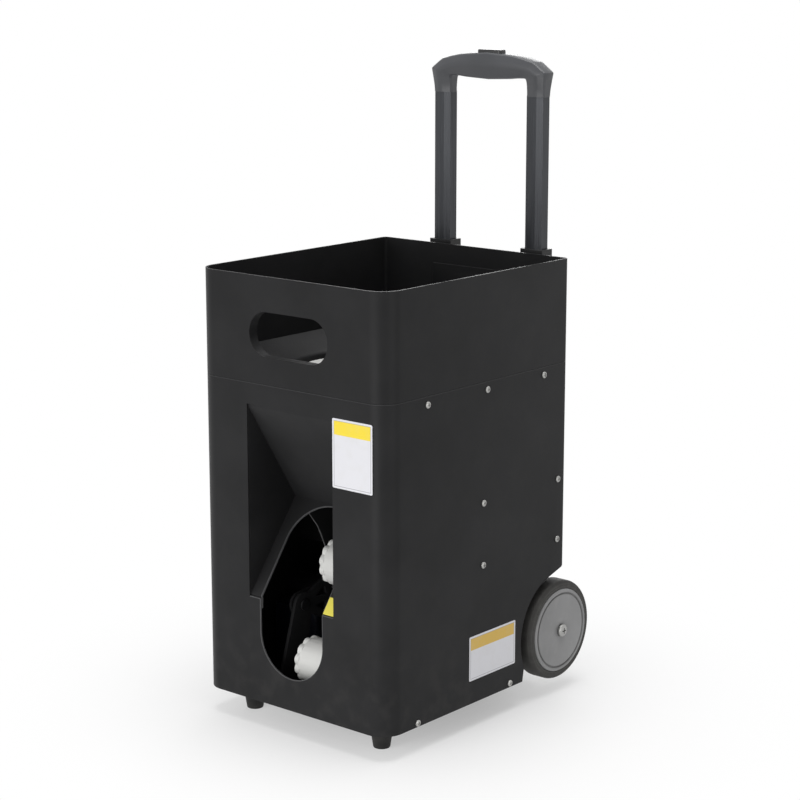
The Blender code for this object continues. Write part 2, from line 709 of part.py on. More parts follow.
def wheel_well():
    back = REAR_Y - 2 * SHEET - 2 * GAP
    shape = prism(notch(WELL_WALL), "X", WELL_X, INNER_X)
    room = prism(notch(0), "X", WELL_X + WELL_WALL, INNER_X + 0.01)
    below = block(WELL_X - 0.01, INNER_X + 0.02, FRONT_Y, REAR_Y + 0.05, BODY_Z - 0.05, TRAY_Z)
    behind = block(WELL_X - 0.01, INNER_X + 0.02, back, REAR_Y + 0.05, BODY_Z - 0.05, SEAM_Z)
    axle_hole = rod("X", (0, WHEEL_Y, WHEEL_Z), AXLE_R + RUN, WELL_X - 0.01, WELL_X + 0.01)
    return cut(shape, room, below, behind, axle_hole)


def rear_panel():
    top = SEAM_Z - SKIRT_H - GAP
    low = NOTCH_TOP + 2 * WELL_WALL + 0.001
    half = WELL_X - 0.0008
    front = PANEL_Y - PANEL_FLANGE
    bend = REAR_R - SHEET
    pan = rounded(-INNER_X, INNER_X, front, PANEL_Y, 0.0001, bend, 3)
    inner = rounded(SHEET - INNER_X, INNER_X - SHEET, front - 0.01, PANEL_Y - SHEET, 0.0001, bend - SHEET, 3)
    panel = cut(prism(pan, "Z", low, top), prism(inner, "Z", low - 0.01, top + 0.01))
    panel = join(panel, block(-half, half, PANEL_Y - SHEET, PANEL_Y, TRAY_Z, low + 0.01))
    holes = []
    for x in (-KNOB_X, 0, KNOB_X):
        holes.append(rod("Y", (x, 0, KNOB_Z), SPINDLE_HOLE_R, PANEL_Y - 0.01, PANEL_Y + 0.01, 16))
    holes.append(rod("Y", (SWITCH_X, 0, SWITCH_Z), SOCKET_R + GAP, PANEL_Y - 0.01, PANEL_Y + 0.01, 20))
    half_w, half_h = SWITCH_W / 2 + GAP, SWITCH_H / 2 + GAP
    holes.append(block(-SWITCH_X - half_w, -SWITCH_X + half_w, PANEL_Y - 0.01, PANEL_Y + 0.01,
                       SWITCH_Z - half_h, SWITCH_Z + half_h))
    for row in range(VENTS):
        z = VENT_Z + VENT_PITCH * row
        holes.append(block(-VENT_W / 2, VENT_W / 2, PANEL_Y - 0.01, PANEL_Y + 0.01, z, z + VENT_H))
    finish(cut(panel, *holes), "rear_panel", "black_sheet")


def feet():
    top = TRAY_Z - GAP
    profile = [(0, 0), (FOOT_R0 - 0.001, 0), (FOOT_R0, 0.001),
               (FOOT_R1 - 0.0006, top - 0.003), (FOOT_R1, top), (0, top)]

    def front_foot():
        return turned(profile, "Z", (HALF_W - FOOT_IN, FRONT_Y + FOOT_IN, 0), 16)

    def rear_foot():
        return turned(profile, "Z", (REAR_FOOT_X, REAR_Y - REAR_FOOT_IN, 0), 16)

    pair(front_foot, "foot_front", "foot_rubber")
    pair(rear_foot, "foot_rear", "foot_rubber")


def axle():
    reach = HALF_W + WHEEL_OUT + AXLE_OUT
    bore = CAP_SHANK_R + RUN
    depth = reach - CAP_SHANK_L - AXLE_OUT
    shoulder0, shoulder1 = WELL_X + WELL_WALL + GAP, WHEEL_MID - WHEEL_W / 2 + AXLE_OUT - GAP
    right = [(AXLE_R, shoulder0), (SHOULDER_R, shoulder0), (SHOULDER_R, shoulder1), (AXLE_R, shoulder1),
             (AXLE_R, reach), (bore, reach), (bore, depth), (0, depth)]
    left = [(radius, -height) for radius, height in reversed(right)]
    finish(turned(left + right, "X", (0, WHEEL_Y, WHEEL_Z), 12), "axle", "steel")


def axle_bracket():
    x1 = WELL_X - GAP
    x0 = x1 - BRACKET_T
    low = TRAY_TOP + GAP
    half = BRACKET_HALF
    heel = BRACKET_FOOT_T
    plate = hull([(WHEEL_Y - 0.004, WHEEL_Z, half), (WHEEL_Y - half - 0.002, low + heel, heel),
                  (WHEEL_Y + heel, low + heel, heel)], 16)
    foot = block(x0 - BRACKET_FOOT_L, x1, WHEEL_Y - half - 0.004, WHEEL_Y + 0.005, low, low + heel)
    hole = rod("X", (0, WHEEL_Y, WHEEL_Z), AXLE_R + RUN, x0 - 0.01, x1 + 0.01)
    return cut(join(prism(plate, "X", x0, x1), foot), hole)


def hub():
    """Disc with a raised rim ring, a groove and a gently crowned face, on a boss."""
    half = WHEEL_W / 2
    bore = AXLE_R + RUN
    boss = HUB_BOSS_R
    seat = HUB_R - HUB_BEAD
    profile = [(bore, -half + 0.001), (boss, -half + 0.001), (boss, -half + 0.008), (seat, -half + 0.002),
               (seat, half - 0.004), (HUB_R, half - 0.004), (HUB_R, half), (bore, half + 0.0012)]
    return pivot_at(turned(profile, "X", (WHEEL_MID, WHEEL_Y, WHEEL_Z), 28), (WHEEL_MID, WHEEL_Y, WHEEL_Z))


def tyre():
    half = WHEEL_W / 2
    seat = HUB_R - HUB_BEAD + GAP
    lip = HUB_R + GAP
    shoulder = TYRE_R - 0.004
    profile = [(seat, -half + 0.002), (shoulder, -half + 0.002), (TYRE_R, -half + 0.008),
               (TYRE_R, half - 0.008), (shoulder, half - 0.0016), (lip, half - 0.0012),
               (lip, half - 0.004 - GAP), (seat, half - 0.004 - GAP)]
    return pivot_at(turned(profile, "X", (WHEEL_MID, WHEEL_Y, WHEEL_Z), 32), (WHEEL_MID, WHEEL_Y, WHEEL_Z))


def axle_cap():
    """Screw with a wide head in the end of the axle, which keeps the wheel on."""
    face = HALF_W + WHEEL_OUT + 0.0012 + GAP
    tip = face - CAP_SHANK_L
    profile = [(0, tip), (CAP_SHANK_R, tip), (CAP_SHANK_R, face), (CAP_R, face),
               (CAP_R, face + CAP_OUT - 0.0012), (CAP_R - 0.0012, face + CAP_OUT), (0, face + CAP_OUT)]
    return turned(profile, "X", (0, WHEEL_Y, WHEEL_Z), 18)


def cradle_point(y, z):
    """A point of the launcher, drawn upright about the nip, turned to its launch angle."""
    turn = math.radians(LAUNCH_TILT)
    return NIP_Y + y * math.cos(turn) + z * math.sin(turn), NIP_Z - y * math.sin(turn) + z * math.cos(turn)


def cradle_outline(points):
    return [cradle_point(y, z) for y, z in points]


def gear_flank(teeth, backlash, steps=1):
    """Right flank of one tooth as (radius, angle) from the tooth's middle, root to tip."""
    pitch = GEAR_MODULE * teeth / 2
    pressure = math.radians(20)
    base = pitch * math.cos(pressure)
    tip = pitch + GEAR_MODULE * 0.9
    root = pitch - GEAR_MODULE * 1.15
    involute = math.tan(pressure) - pressure
    half_tooth = math.pi / (2 * teeth) - backlash / (2 * pitch) + involute
    start = max(base, root + 0.00005)
    flank = [(root, half_tooth)]
    for i in range(steps + 1):
        radius = start + (tip - start) * i / steps
        angle = math.acos(min(base / radius, 1))
        flank.append((radius, half_tooth - (math.tan(angle) - angle)))
    return flank


def gear_teeth(teeth, first, last, phase, backlash):
    """Outline points of teeth first to last of a gear, about the origin, anticlockwise."""
    points = []
    for tooth in range(first, last + 1):
        middle = phase + 2 * math.pi * tooth / teeth
        flank = gear_flank(teeth, backlash)
        for radius, angle in flank:
            points.append((radius * math.cos(middle - angle), radius * math.sin(middle - angle)))
        for radius, angle in reversed(flank):
            points.append((radius * math.cos(middle + angle), radius * math.sin(middle + angle)))
    return points


def launch_cradle():
    """U-shaped carrier of both launch motors, with the sector gear on its left plate."""
    lobe = TIE_R + 0.003
    tie_back = (0.025, -TIE_DROP + 0.011)
    flange = MOTOR_R + 0.003
    motors = [(0, WHEEL_REACH, flange), (0, -WHEEL_REACH, flange)]
    plate_r = hull(motors + [(0, -TIE_DROP, lobe), (*tie_back, lobe)])
    plate_l = hull([(0, 0, 0.014), (0, -TIE_DROP, lobe), (*tie_back, lobe)], 16)
    right = prism(cradle_outline(plate_r), "X", CRADLE_X, CRADLE_X + CRADLE_T)
    left = prism(cradle_outline(plate_l), "X", -CRADLE_X - CRADLE_T, -CRADLE_X)
    pitch = 2 * math.pi / SECTOR_TEETH
    rest = math.radians(LAUNCH_TILT)
    first = -math.ceil(math.radians(TILT_DOWN + 9) / pitch)
    last = math.ceil(math.radians(TILT_UP + 9) / pitch)
    teeth = gear_teeth(SECTOR_TEETH, first, last, rest + pitch / 2, BACKLASH)
    root = SECTOR_R - 0.010
    start, end = rest + (first - 0.2) * pitch, rest + (last + 1.2) * pitch
    ring = arc(0, 0, root, math.degrees(end), math.degrees(start), 6)
    sector = teeth + ring
    rim = prism(cradle_outline(sector), "X", -CRADLE_X - CRADLE_T, -CRADLE_X)
    spokes = []
    for share in (0.06, 0.5, 0.94):
        turn = start + (end - start) * share
        reach = root + 0.003
        foot = hull([(0, 0, 0.007), (reach * math.cos(turn), reach * math.sin(turn), 0.004)], 8)
        spokes.append(prism(cradle_outline(foot), "X", -CRADLE_X - CRADLE_T, -CRADLE_X))
    ties = []
    for y, z in ((0, -TIE_DROP), tie_back):
        world = cradle_point(y, z)
        ties.append(rod("X", (0, *world), TIE_R, -CRADLE_X - 0.002, CRADLE_X + 0.002, 16))
    holes = [rod("X", (0, NIP_Y, NIP_Z), PIVOT_R + RUN, -CRADLE_X - 0.01, CRADLE_X + 0.01)]
    for z in (WHEEL_REACH, -WHEEL_REACH):
        holes.append(rod("X", (0, *cradle_point(0, z)), 0.008 + RUN, CRADLE_X - 0.01, CRADLE_X + 0.01))
    made = finish(cut(join(right, left, rim, *spokes, *ties), *holes), "launch_cradle", "black_sheet")
    pivot_at(made, (0, NIP_Y, NIP_Z))


def launch_wheel(name, centre):
    """White lobed wheel overhung on its motor's shaft."""
    valley = LAUNCH_R - LOBE_DEPTH
    outline = []
    steps = LOBES * 4
    for i in range(steps):
        turn = 2 * math.pi * i / steps
        radius = valley + LOBE_DEPTH * abs(math.sin(LOBES * turn / 2))
        outline.append((centre[0] + radius * math.cos(turn), centre[1] + radius * math.sin(turn)))
    half = LAUNCH_W / 2
    drum_end = half + DRUM_OUT
    drum_r = LAUNCH_R - DRUM_DROP
    inner = LOBE_W - half
    rim = prism(outline, "X", -half, inner)
    drum = turned([(0, inner - 0.001), (drum_r, inner - 0.001), (drum_r, drum_end - DRUM_EDGE),
                   (drum_r - DRUM_EDGE, drum_end), (0, drum_end)], "X", (0, *centre), 24)
    boss_end = CRADLE_X - 0.002
    boss = rod("X", (0, *centre), BOSS_R, 0, boss_end)
    bore = rod("X", (0, *centre), SHAFT_R + RUN, -half + 0.003, boss_end + 0.01, 12)
    dish = turned([(BOSS_R, -half - 0.01), (LAUNCH_R - 0.007, -half - 0.01), (LAUNCH_R - 0.007, -half + 0.003),
                   (BOSS_R, -half + 0.003)], "X", (0, *centre))
    made = cut(join(rim, drum, boss), bore, dish)
    finish(made, name, "white_plastic")
    pivot_at(made, (0, *centre))


def wheel_motor(name, centre):
    boss = 0.008
    face = CRADLE_X + CRADLE_T + GAP
    inner = CRADLE_X + 0.001
    end = face + MOTOR_L
    bore = SHAFT_R + RUN
    profile = [(bore, inner), (boss, inner), (boss, face), (MOTOR_R, face), (MOTOR_R, end - 0.002),
               (MOTOR_R - 0.002, end), (0, end), (0, face + 0.016), (bore, face + 0.016)]
    pivot_at(finish(turned(profile, "X", (0, *centre)), name, "motor_can"), (0, NIP_Y, NIP_Z))


def launcher_moving():
    launch_cradle()
    for side, z in (("upper", WHEEL_REACH), ("lower", -WHEEL_REACH)):
        centre = cradle_point(0, z)
        launch_wheel("launch_wheel_" + side, centre)
        wheel_motor("wheel_motor_" + side, centre)
        low = -LAUNCH_W / 2 + 0.004
        shaft = rod("X", (0, *centre), SHAFT_R, low, CRADLE_X + CRADLE_T + 0.014, 12)
        pivot_at(finish(shaft, "wheel_shaft_" + side, "steel"), (0, *centre))


def launcher_frame():
    """Cross frame between the side panels, with two arms that carry the launcher's pivot."""
    front = FRONT_Y + FRAME_DEPTH
    back = front + FRAME_T
    flange = back + FRAME_FLANGE
    sheet = [(-INNER_X, front), (INNER_X, front), (INNER_X, flange), (INNER_X - SHEET, flange),
             (INNER_X - SHEET, back), (SHEET - INNER_X, back), (SHEET - INNER_X, flange), (-INNER_X, flange)]
    plate = prism(sheet, "Z", FRAME_Z0, FRAME_Z1)
    portal = CHUTE_X + CHUTE_WALL + 0.002
    gate = block(-portal, portal, front - 0.01, back + 0.01, FRAME_Z0 - 0.01, FRAME_Z0 + 0.070)
    arms = []
    reach = front + 0.002 - 0.010
    elbow = PINION_Y + GEARMOTOR_R + 0.001
    for x0, lug in ((ARM_X, 0.010), (-ARM_X - ARM_T, GEARMOTOR_R + 0.001)):
        low = hull([(NIP_Y, NIP_Z, 0.013), (elbow - lug, NIP_Z, lug)])
        rise = hull([(elbow - lug, NIP_Z, lug), (reach, FRAME_Z0 + 0.010, 0.010),
                     (reach, FRAME_Z1 - 0.010, 0.010)])
        arms += [prism(low, "X", x0, x0 + ARM_T), prism(rise, "X", x0, x0 + ARM_T)]
    pivots = rod("X", (0, NIP_Y, NIP_Z), PIVOT_R + RUN, -ARM_X - 0.02, ARM_X + 0.02)
    shaft = rod("X", (0, PINION_Y, NIP_Z), 0.0055, -ARM_X - 0.02, -ARM_X + 0.01)
    finish(cut(join(cut(plate, gate), *arms), pivots, shaft), "launcher_frame", "black_sheet")


def pivot_pin():
    """Pivot bolt: head outside the arm, spacer between arm and cradle plate, clip inside."""
    head = ARM_X + ARM_T + GAP
    inner = CRADLE_X - GAP
    clip_r = PIVOT_HEAD_R - 0.0005
    spacer = CRADLE_X + CRADLE_T + GAP
    end = head + PIVOT_HEAD_H
    profile = [(0, inner - 0.002), (clip_r, inner - 0.002), (clip_r, inner), (PIVOT_R, inner),
               (PIVOT_R, spacer), (PIVOT_HEAD_R, spacer), (PIVOT_HEAD_R, ARM_X - GAP),
               (PIVOT_R, ARM_X - GAP), (PIVOT_R, head), (PIVOT_HEAD_R, head), (PIVOT_HEAD_R, end), (0, end)]
    return turned(profile, "X", (0, NIP_Y, NIP_Z), 14)


def elevation_drive():
    teeth = gear_teeth(PINION_TEETH, 0, PINION_TEETH - 1, math.pi, BACKLASH)
    outline = [(PINION_Y + y, NIP_Z + z) for y, z in teeth]
    inner = -CRADLE_X + 0.0004
    outer = -CRADLE_X - CRADLE_T - 0.0006
    gear = prism(outline, "X", outer, inner)
    hub_end = -ARM_X + GAP
    hub_solid = rod("X", (0, PINION_Y, NIP_Z), GEARMOTOR_BOSS_R, hub_end, outer + 0.001)
    shaft = rod("X", (0, PINION_Y, NIP_Z), SHAFT_R, hub_end - PINION_SHAFT_L, hub_end + 0.001, 12)
    made = finish(join(gear, hub_solid, shaft), "elevation_pinion", "steel")
    pivot_at(made, (0, PINION_Y, NIP_Z))
    face = ARM_X + ARM_T + GAP
    bore = SHAFT_R + RUN
    gearbox = face + GEARBOX_L
    end = gearbox + ELEVATION_MOTOR_L
    depth = face + PINION_SHAFT_L
    profile = [(bore, ARM_X), (GEARMOTOR_BOSS_R, ARM_X), (GEARMOTOR_BOSS_R, face), (GEARMOTOR_R, face),
               (GEARMOTOR_R, gearbox), (ELEVATION_MOTOR_R, gearbox), (ELEVATION_MOTOR_R, end), (0, end),
               (0, depth), (bore, depth)]
    mirrored_profile = [(radius, -height) for radius, height in profile]
    finish(turned(mirrored_profile, "X", (0, PINION_Y, NIP_Z)), "elevation_gearmotor", "motor_can")


def power():
    x0 = BATTERY_SIDE - INNER_X
    x1 = x0 + BATTERY_W
    y1 = WHEEL_Y - NOTCH_R - WELL_WALL - BATTERY_BACK
    y0 = y1 - BATTERY_D
    low = TRAY_TOP + GAP
    case = prism(rounded(x0, x1, y0, y1, BATTERY_R, BATTERY_R, 3), "Z", low, low + BATTERY_H)
    finish(case, "battery", "battery_blue")
    strap_y = y0 + BATTERY_D * 0.62
    top = low + BATTERY_H + GAP
    half = STRAP_W / 2
    band = STRAP_T
    foot = STRAP_FOOT
    a, b = x0 - GAP, x1 + GAP
    section = [(a - foot, low), (a, low), (a, top), (b, top), (b, low), (b + foot, low), (b + foot, low + band),
               (b + band, low + band), (b + band, top + band), (a - band, top + band), (a - band, low + band),
               (a - foot, low + band)]
    finish(prism(section, "Y", strap_y - half, strap_y + half), "battery_strap", "steel")


def knob(name, x):
    face = PANEL_Y + KNOB_PLAY
    tip = face + KNOB_H
    end = PANEL_Y - SPINDLE_L
    profile = [(0, end), (SPINDLE_R, end), (SPINDLE_R, face), (KNOB_R, face),
               (KNOB_R, face + KNOB_RIM), (KNOB_TIP_R, tip), (0, tip)]
    body = turned(profile, "Y", (x, 0, KNOB_Z), 16)
    pointer = block(x - POINTER_W / 2, x + POINTER_W / 2, face + KNOB_RIM, tip + 0.0005,
                    KNOB_Z + 0.002, KNOB_Z + KNOB_R - 0.0006)
    pivot_at(finish(join(body, pointer), name, "switch_black"), (x, PANEL_Y, KNOB_Z))


def controls():
    face = PANEL_Y - SHEET - GAP
    board_y = face - BOARD_BACK
    pot = POT_W / 2
    board = block(-BOARD_W / 2, BOARD_W / 2, board_y - BOARD_T, board_y,
                  KNOB_Z - BOARD_DOWN, KNOB_Z + BOARD_UP)
    pots = []
    bores = []
    for x in (-KNOB_X, 0, KNOB_X):
        pots.append(block(x - pot, x + pot, board_y - 0.0005, face, KNOB_Z - pot, KNOB_Z + pot))
        bores.append(rod("Y", (x, 0, KNOB_Z), SPINDLE_R + RUN, face - 0.0096, face + 0.01, 12))
    finish(cut(join(board, *pots), *bores), "control_board", "board_green")
    for name, x in (("speed_knob", -KNOB_X), ("feed_knob", 0), ("angle_knob", KNOB_X)):
        knob(name, x)

    def switch_block(grow, low, high):
        half_w, half_h = SWITCH_W / 2 + grow, SWITCH_H / 2 + grow
        return block(-SWITCH_X - half_w, -SWITCH_X + half_w, low, high, SWITCH_Z - half_h, SWITCH_Z + half_h)

    bezel = switch_block(BEZEL, PANEL_Y + GAP, PANEL_Y + GAP + BEZEL)
    body = switch_block(0, PANEL_Y - SWITCH_L, PANEL_Y + 0.001)
    room = switch_block(-SWITCH_WALL, PANEL_Y - SWITCH_L / 2, PANEL_Y + 0.01)
    finish(cut(join(body, bezel), room), "power_switch", "switch_black")
    depth = PANEL_Y - 0.004
    half = [(-0.003, 0.0035), (0.0045, 0.0076), (0.0060, 0.0072)]
    rocker = [(depth + y, SWITCH_Z - z) for y, z in half] + [(depth + 0.0048, SWITCH_Z)]
    rocker += [(depth + y, SWITCH_Z + z) for y, z in reversed(half)]
    reach = SWITCH_W / 2 - SWITCH_WALL - RUN
    made = prism(rocker, "X", -SWITCH_X - reach, -SWITCH_X + reach)
    pivot_at(finish(made, "power_rocker", "switch_black", 20), (-SWITCH_X, depth, SWITCH_Z))
    rim = PANEL_Y + 0.0028
    bottom, end = PANEL_Y - SOCKET_DEPTH, PANEL_Y - SOCKET_L
    socket = [(SOCKET_BORE_R, bottom), (SOCKET_BORE_R, rim), (SOCKET_RIM_R, rim), (SOCKET_RIM_R, PANEL_Y + GAP),
              (SOCKET_R, PANEL_Y + GAP), (SOCKET_R, end), (0, end), (0, bottom)]
    finish(turned(socket, "Y", (SWITCH_X, 0, SWITCH_Z), 16), "charge_socket", "switch_black")


def tube_outline(x, grow):
    """Flattened tube with a flat front and back between shallow bevels, seen from above."""
    w, t = TUBE_W / 2 + grow, TUBE_T / 2 + grow
    side = [(TUBE_FLAT / 2, -t), (w, TUBE_FALL - t)]
    right = side + [(px, -py) for px, py in reversed(side)]
    whole = right + [(-px, -py) for px, py in right]
    return [(x + px, TUBE_Y + py) for px, py in whole]


def handle_tube():
    low = SLEEVE_Z0 + HANDLE_DOWN + 0.016
    top = GRIP_Z - GAP
    tube = prism(tube_outline(TUBE_X, 0), "Z", low, top)
    return cut(tube, prism(tube_outline(TUBE_X, -TUBE_WALL), "Z", low - 0.01, top + 0.01))


def handle_sleeve():
    sleeve = prism(tube_outline(TUBE_X, SLEEVE_PLAY + SLEEVE_WALL), "Z", SLEEVE_Z0, SLEEVE_Z1)
    return cut(sleeve, prism(tube_outline(TUBE_X, SLEEVE_PLAY), "Z", SLEEVE_Z0 - 0.01, SLEEVE_Z1 + 0.01))


def sleeve_collar():
    low, top = SLEEVE_Z1 - 0.010, SLEEVE_Z1 + 0.008
    outside = SLEEVE_PLAY + SLEEVE_WALL + GAP
    collar = prism(tube_outline(TUBE_X, outside + 0.0018), "Z", low, top)
    seat = prism(tube_outline(TUBE_X, outside), "Z", low - 0.01, SLEEVE_Z1 + GAP)
    way = prism(tube_outline(TUBE_X, RUN), "Z", low - 0.01, top + 0.01)
    return cut(collar, seat, way)


def handle_bracket(name, wall_y, z0, z1):
    """Plate on the back wall with a clamp block round each sleeve."""
    grip_w = TUBE_W / 2 + SLEEVE_PLAY + SLEEVE_WALL + 0.005
    back = TUBE_Y + TUBE_T / 2 + SLEEVE_PLAY + SLEEVE_WALL + 0.0035
    front = wall_y + GAP
    bar = block(-TUBE_X - grip_w, TUBE_X + grip_w, front, front + 0.003, z0, z1)
    blocks, ways = [], []
    for x in (-TUBE_X, TUBE_X):
        outline = [(x - grip_w, front + 0.001), (x + grip_w, front + 0.001), (x + grip_w, back - 0.003),
                   (x + grip_w - 0.003, back), (x - grip_w + 0.003, back), (x - grip_w, back - 0.003)]
        blocks.append(prism(outline, "Z", z0, z1))
        ways.append(prism(tube_outline(x, SLEEVE_PLAY + SLEEVE_WALL + GAP), "Z", z0 - 0.01, z1 + 0.01))
    finish(cut(join(bar, *blocks), *ways), name, "black_plastic")


def grip_ring(x, z, lean, across, deep, count=16):
    """Rounded section of the grip, in the plane whose across direction leans from +X towards +Z."""
    ring = []
    for i in range(count):
        turn = 2 * math.pi * i / count
        u = math.copysign(abs(math.cos(turn)) ** 0.7, math.cos(turn)) * across / 2
        v = math.copysign(abs(math.sin(turn)) ** 0.7, math.sin(turn)) * deep / 2
        ring.append((x + u * math.cos(lean), TUBE_Y + v, z + u * math.sin(lean)))
    return ring


def handle_grip():
    """Arched crossbar that flows into two legs, with a plug in the top of each tube."""
    bar_z = GRIP_TOP - 0.0145
    half_turn = math.pi
    stations = [(-TUBE_X, GRIP_Z, half_turn, TUBE_W, TUBE_T),
                (-TUBE_X, GRIP_Z + GRIP_H * 0.12, half_turn, TUBE_W + 0.0006, TUBE_T + 0.001),
                (-TUBE_X, GRIP_Z + GRIP_H * 0.36, half_turn - 0.04, TUBE_W + 0.003, TUBE_T + 0.0055),
                (-TUBE_X + 0.0012, GRIP_Z + GRIP_H * 0.47, half_turn - 0.55, TUBE_W + 0.0035, TUBE_T + 0.008),
                (-TUBE_X + 0.006, bar_z - 0.0062, half_turn - 1.10, TUBE_W + 0.0005, TUBE_T + 0.010),
                (-TUBE_X + 0.016, bar_z - 0.0044, half_turn / 2 + 0.06, 0.0205, 0.0205),
                (-TUBE_X * 0.5, bar_z - 0.0020, half_turn / 2 + 0.03, 0.0245, 0.0240)]
    middle = [(0, bar_z, half_turn / 2, GRIP_BAR_W, GRIP_BAR_T)]
    other = [(-x, z, half_turn - lean, across, deep) for x, z, lean, across, deep in reversed(stations)]
    body = loft([grip_ring(*station) for station in stations + middle + other])
    plugs = []
    for x in (-TUBE_X, TUBE_X):
        plugs.append(prism(tube_outline(x, -TUBE_WALL - GAP), "Z", GRIP_Z - 0.022, GRIP_Z + 0.005))
    half_w, half_t = BUTTON_W / 2 + 0.0004, BUTTON_T / 2 + 0.0004
    pocket = prism(rounded(-half_w, half_w, TUBE_Y - half_t, TUBE_Y + half_t, 0.0034, 0.0034, 4), "Z",
                   GRIP_TOP - 0.0105, GRIP_TOP + 0.01)
    finish(cut(join(body, *plugs), pocket), "handle_grip", "grip_plastic", 50)


def grip_button():
    low = GRIP_TOP - 0.0105 + BUTTON_TRAVEL + GAP
    top = GRIP_TOP + BUTTON_OUT
    rings = []
    for inset, z in ((0, low), (0, top - 0.0022), (0.0007, top - 0.0007), (0.0024, top)):
        half_w, half_t = BUTTON_W / 2 - inset, BUTTON_T / 2 - inset
        outline = rounded(-half_w, half_w, TUBE_Y - half_t, TUBE_Y + half_t, 0.003, 0.003, 4)
        rings.append([(x, y, z) for x, y in outline])
    finish(loft(rings), "grip_button", "switch_black")


def trolley():
    pair(handle_sleeve, "handle_sleeve", "black_sheet")
    pair(sleeve_collar, "sleeve_collar", "black_plastic")
    pair(handle_tube, "handle_tube", "handle_tube")
    handle_bracket("handle_bracket_upper", REAR_Y, BRACKET_UPPER_Z, BRACKET_UPPER_Z + BRACKET_UPPER_H)
    handle_bracket("handle_bracket_lower", PANEL_Y, BRACKET_LOWER_Z, BRACKET_LOWER_Z + BRACKET_LOWER_H)
    handle_grip()
    grip_button()


def main():
    clear_scene()
    housing_shell()
    launch_recess()
    hopper()
    hopper_floor()
    drop_guard()
    feed_wheel()
    feed_cap()
    feed_drive()
    ball_chute()
    base_tray()
    pair(wheel_well, "wheel_well", "black_plastic")
    rear_panel()
    feet()
    axle()
    pair(axle_bracket, "axle_bracket", "steel")
    pair(hub, "hub", "hub_grey")
    pair(tyre, "tyre", "tyre_rubber")
    pair(axle_cap, "axle_cap", "zinc")
    launcher_moving()
    launcher_frame()
    pair(pivot_pin, "pivot_pin", "steel")
    elevation_drive()
    power()
    controls()
    trolley()


main()
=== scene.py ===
import math

import bpy
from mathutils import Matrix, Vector


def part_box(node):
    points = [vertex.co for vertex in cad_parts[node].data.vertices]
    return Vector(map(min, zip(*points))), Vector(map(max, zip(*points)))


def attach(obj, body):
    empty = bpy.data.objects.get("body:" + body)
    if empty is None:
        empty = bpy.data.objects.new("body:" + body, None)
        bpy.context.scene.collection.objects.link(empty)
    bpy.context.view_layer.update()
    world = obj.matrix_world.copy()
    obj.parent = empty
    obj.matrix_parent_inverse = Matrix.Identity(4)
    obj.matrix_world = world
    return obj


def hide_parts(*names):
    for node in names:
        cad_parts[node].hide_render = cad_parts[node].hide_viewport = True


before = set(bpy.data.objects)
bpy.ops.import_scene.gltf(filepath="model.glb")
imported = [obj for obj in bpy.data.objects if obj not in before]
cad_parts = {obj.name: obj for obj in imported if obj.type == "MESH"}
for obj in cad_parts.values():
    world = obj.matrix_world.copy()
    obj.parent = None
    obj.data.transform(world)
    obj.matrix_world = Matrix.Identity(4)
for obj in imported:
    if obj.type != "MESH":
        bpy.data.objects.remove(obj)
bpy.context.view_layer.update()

# Case shell
# Folded steel sheet, powder coated fine matte black: front and both sides in one wrap round two
# soft front corners, with the launch opening and the wheel notches cut out and every edge eased.


def hold(piece):
    """Leave one piece selected, so that an operator acts on it alone."""
    if bpy.context.mode != "OBJECT":
        bpy.ops.object.mode_set(mode="OBJECT")
    bpy.ops.object.select_all(action="DESELECT")
    if piece:
        piece.select_set(True)
        bpy.context.view_layer.objects.active = piece


def modify(piece, kind, **settings):
    """Add a modifier, set it and apply it."""
    hold(piece)
    bpy.ops.object.modifier_add(type=kind)
    modifier = piece.modifiers[-1]
    for name, value in settings.items():
        setattr(modifier, name, value)
    bpy.ops.object.modifier_apply(modifier=modifier.name)


def pick(piece, mode, test):
    """Go into edit mode with those edges or faces selected whose middle and direction pass a test."""
    hold(piece)
    bpy.ops.object.mode_set(mode="EDIT")
    bpy.ops.mesh.select_mode(type=mode)
    bpy.ops.mesh.select_all(action="DESELECT")
    bpy.ops.object.mode_set(mode="OBJECT")
    mesh = piece.data
    if mode == "FACE":
        for face in mesh.polygons:
            face.select = test(face.center, face.normal)
    else:
        for edge in mesh.edges:
            start, end = (mesh.vertices[i].co for i in edge.vertices)
            edge.select = test((start + end) / 2, (end - start).normalized())
    bpy.ops.object.mode_set(mode="EDIT")


def seat(piece):
    """Put a piece's place, turn and scale into its mesh."""
    hold(piece)
    bpy.ops.object.transform_apply(location=True, rotation=True, scale=True)


def slab(name, low, high):
    """Rectangular block between two corners."""
    hold(None)
    low, high = Vector(low), Vector(high)
    bpy.ops.mesh.primitive_cube_add(size=1, location=(low + high) / 2, scale=high - low)
    piece = bpy.context.object
    piece.name = name
    seat(piece)
    return piece


def trace(name, points, closed=True):
    """Wire drawn by extruding one vertex from point to point, left all selected in edit mode."""
    hold(None)
    bpy.ops.mesh.primitive_plane_add(size=0.001, location=points[0])
    piece = bpy.context.object
    piece.name = name
    seat(piece)
    bpy.ops.object.mode_set(mode="EDIT")
    bpy.ops.mesh.select_mode(type="VERT")
    bpy.ops.mesh.select_all(action="SELECT")
    bpy.ops.mesh.merge(type="CENTER")
    here = Vector(points[0])
    for point in list(points[1:]) + list(points[:1] if closed else []):
        bpy.ops.mesh.extrude_vertices_move(TRANSFORM_OT_translate={"value": Vector(point) - here})
        here = Vector(point)
    bpy.ops.mesh.select_all(action="SELECT")
    bpy.ops.mesh.remove_doubles(threshold=1e-6)
    return piece


def close_up(piece):
    """Merge doubles and turn all faces outwards."""
    bpy.ops.mesh.select_all(action="SELECT")
    bpy.ops.mesh.remove_doubles(threshold=1e-6)
    bpy.ops.mesh.normals_make_consistent(inside=False)
    bpy.ops.object.mode_set(mode="OBJECT")
    return piece


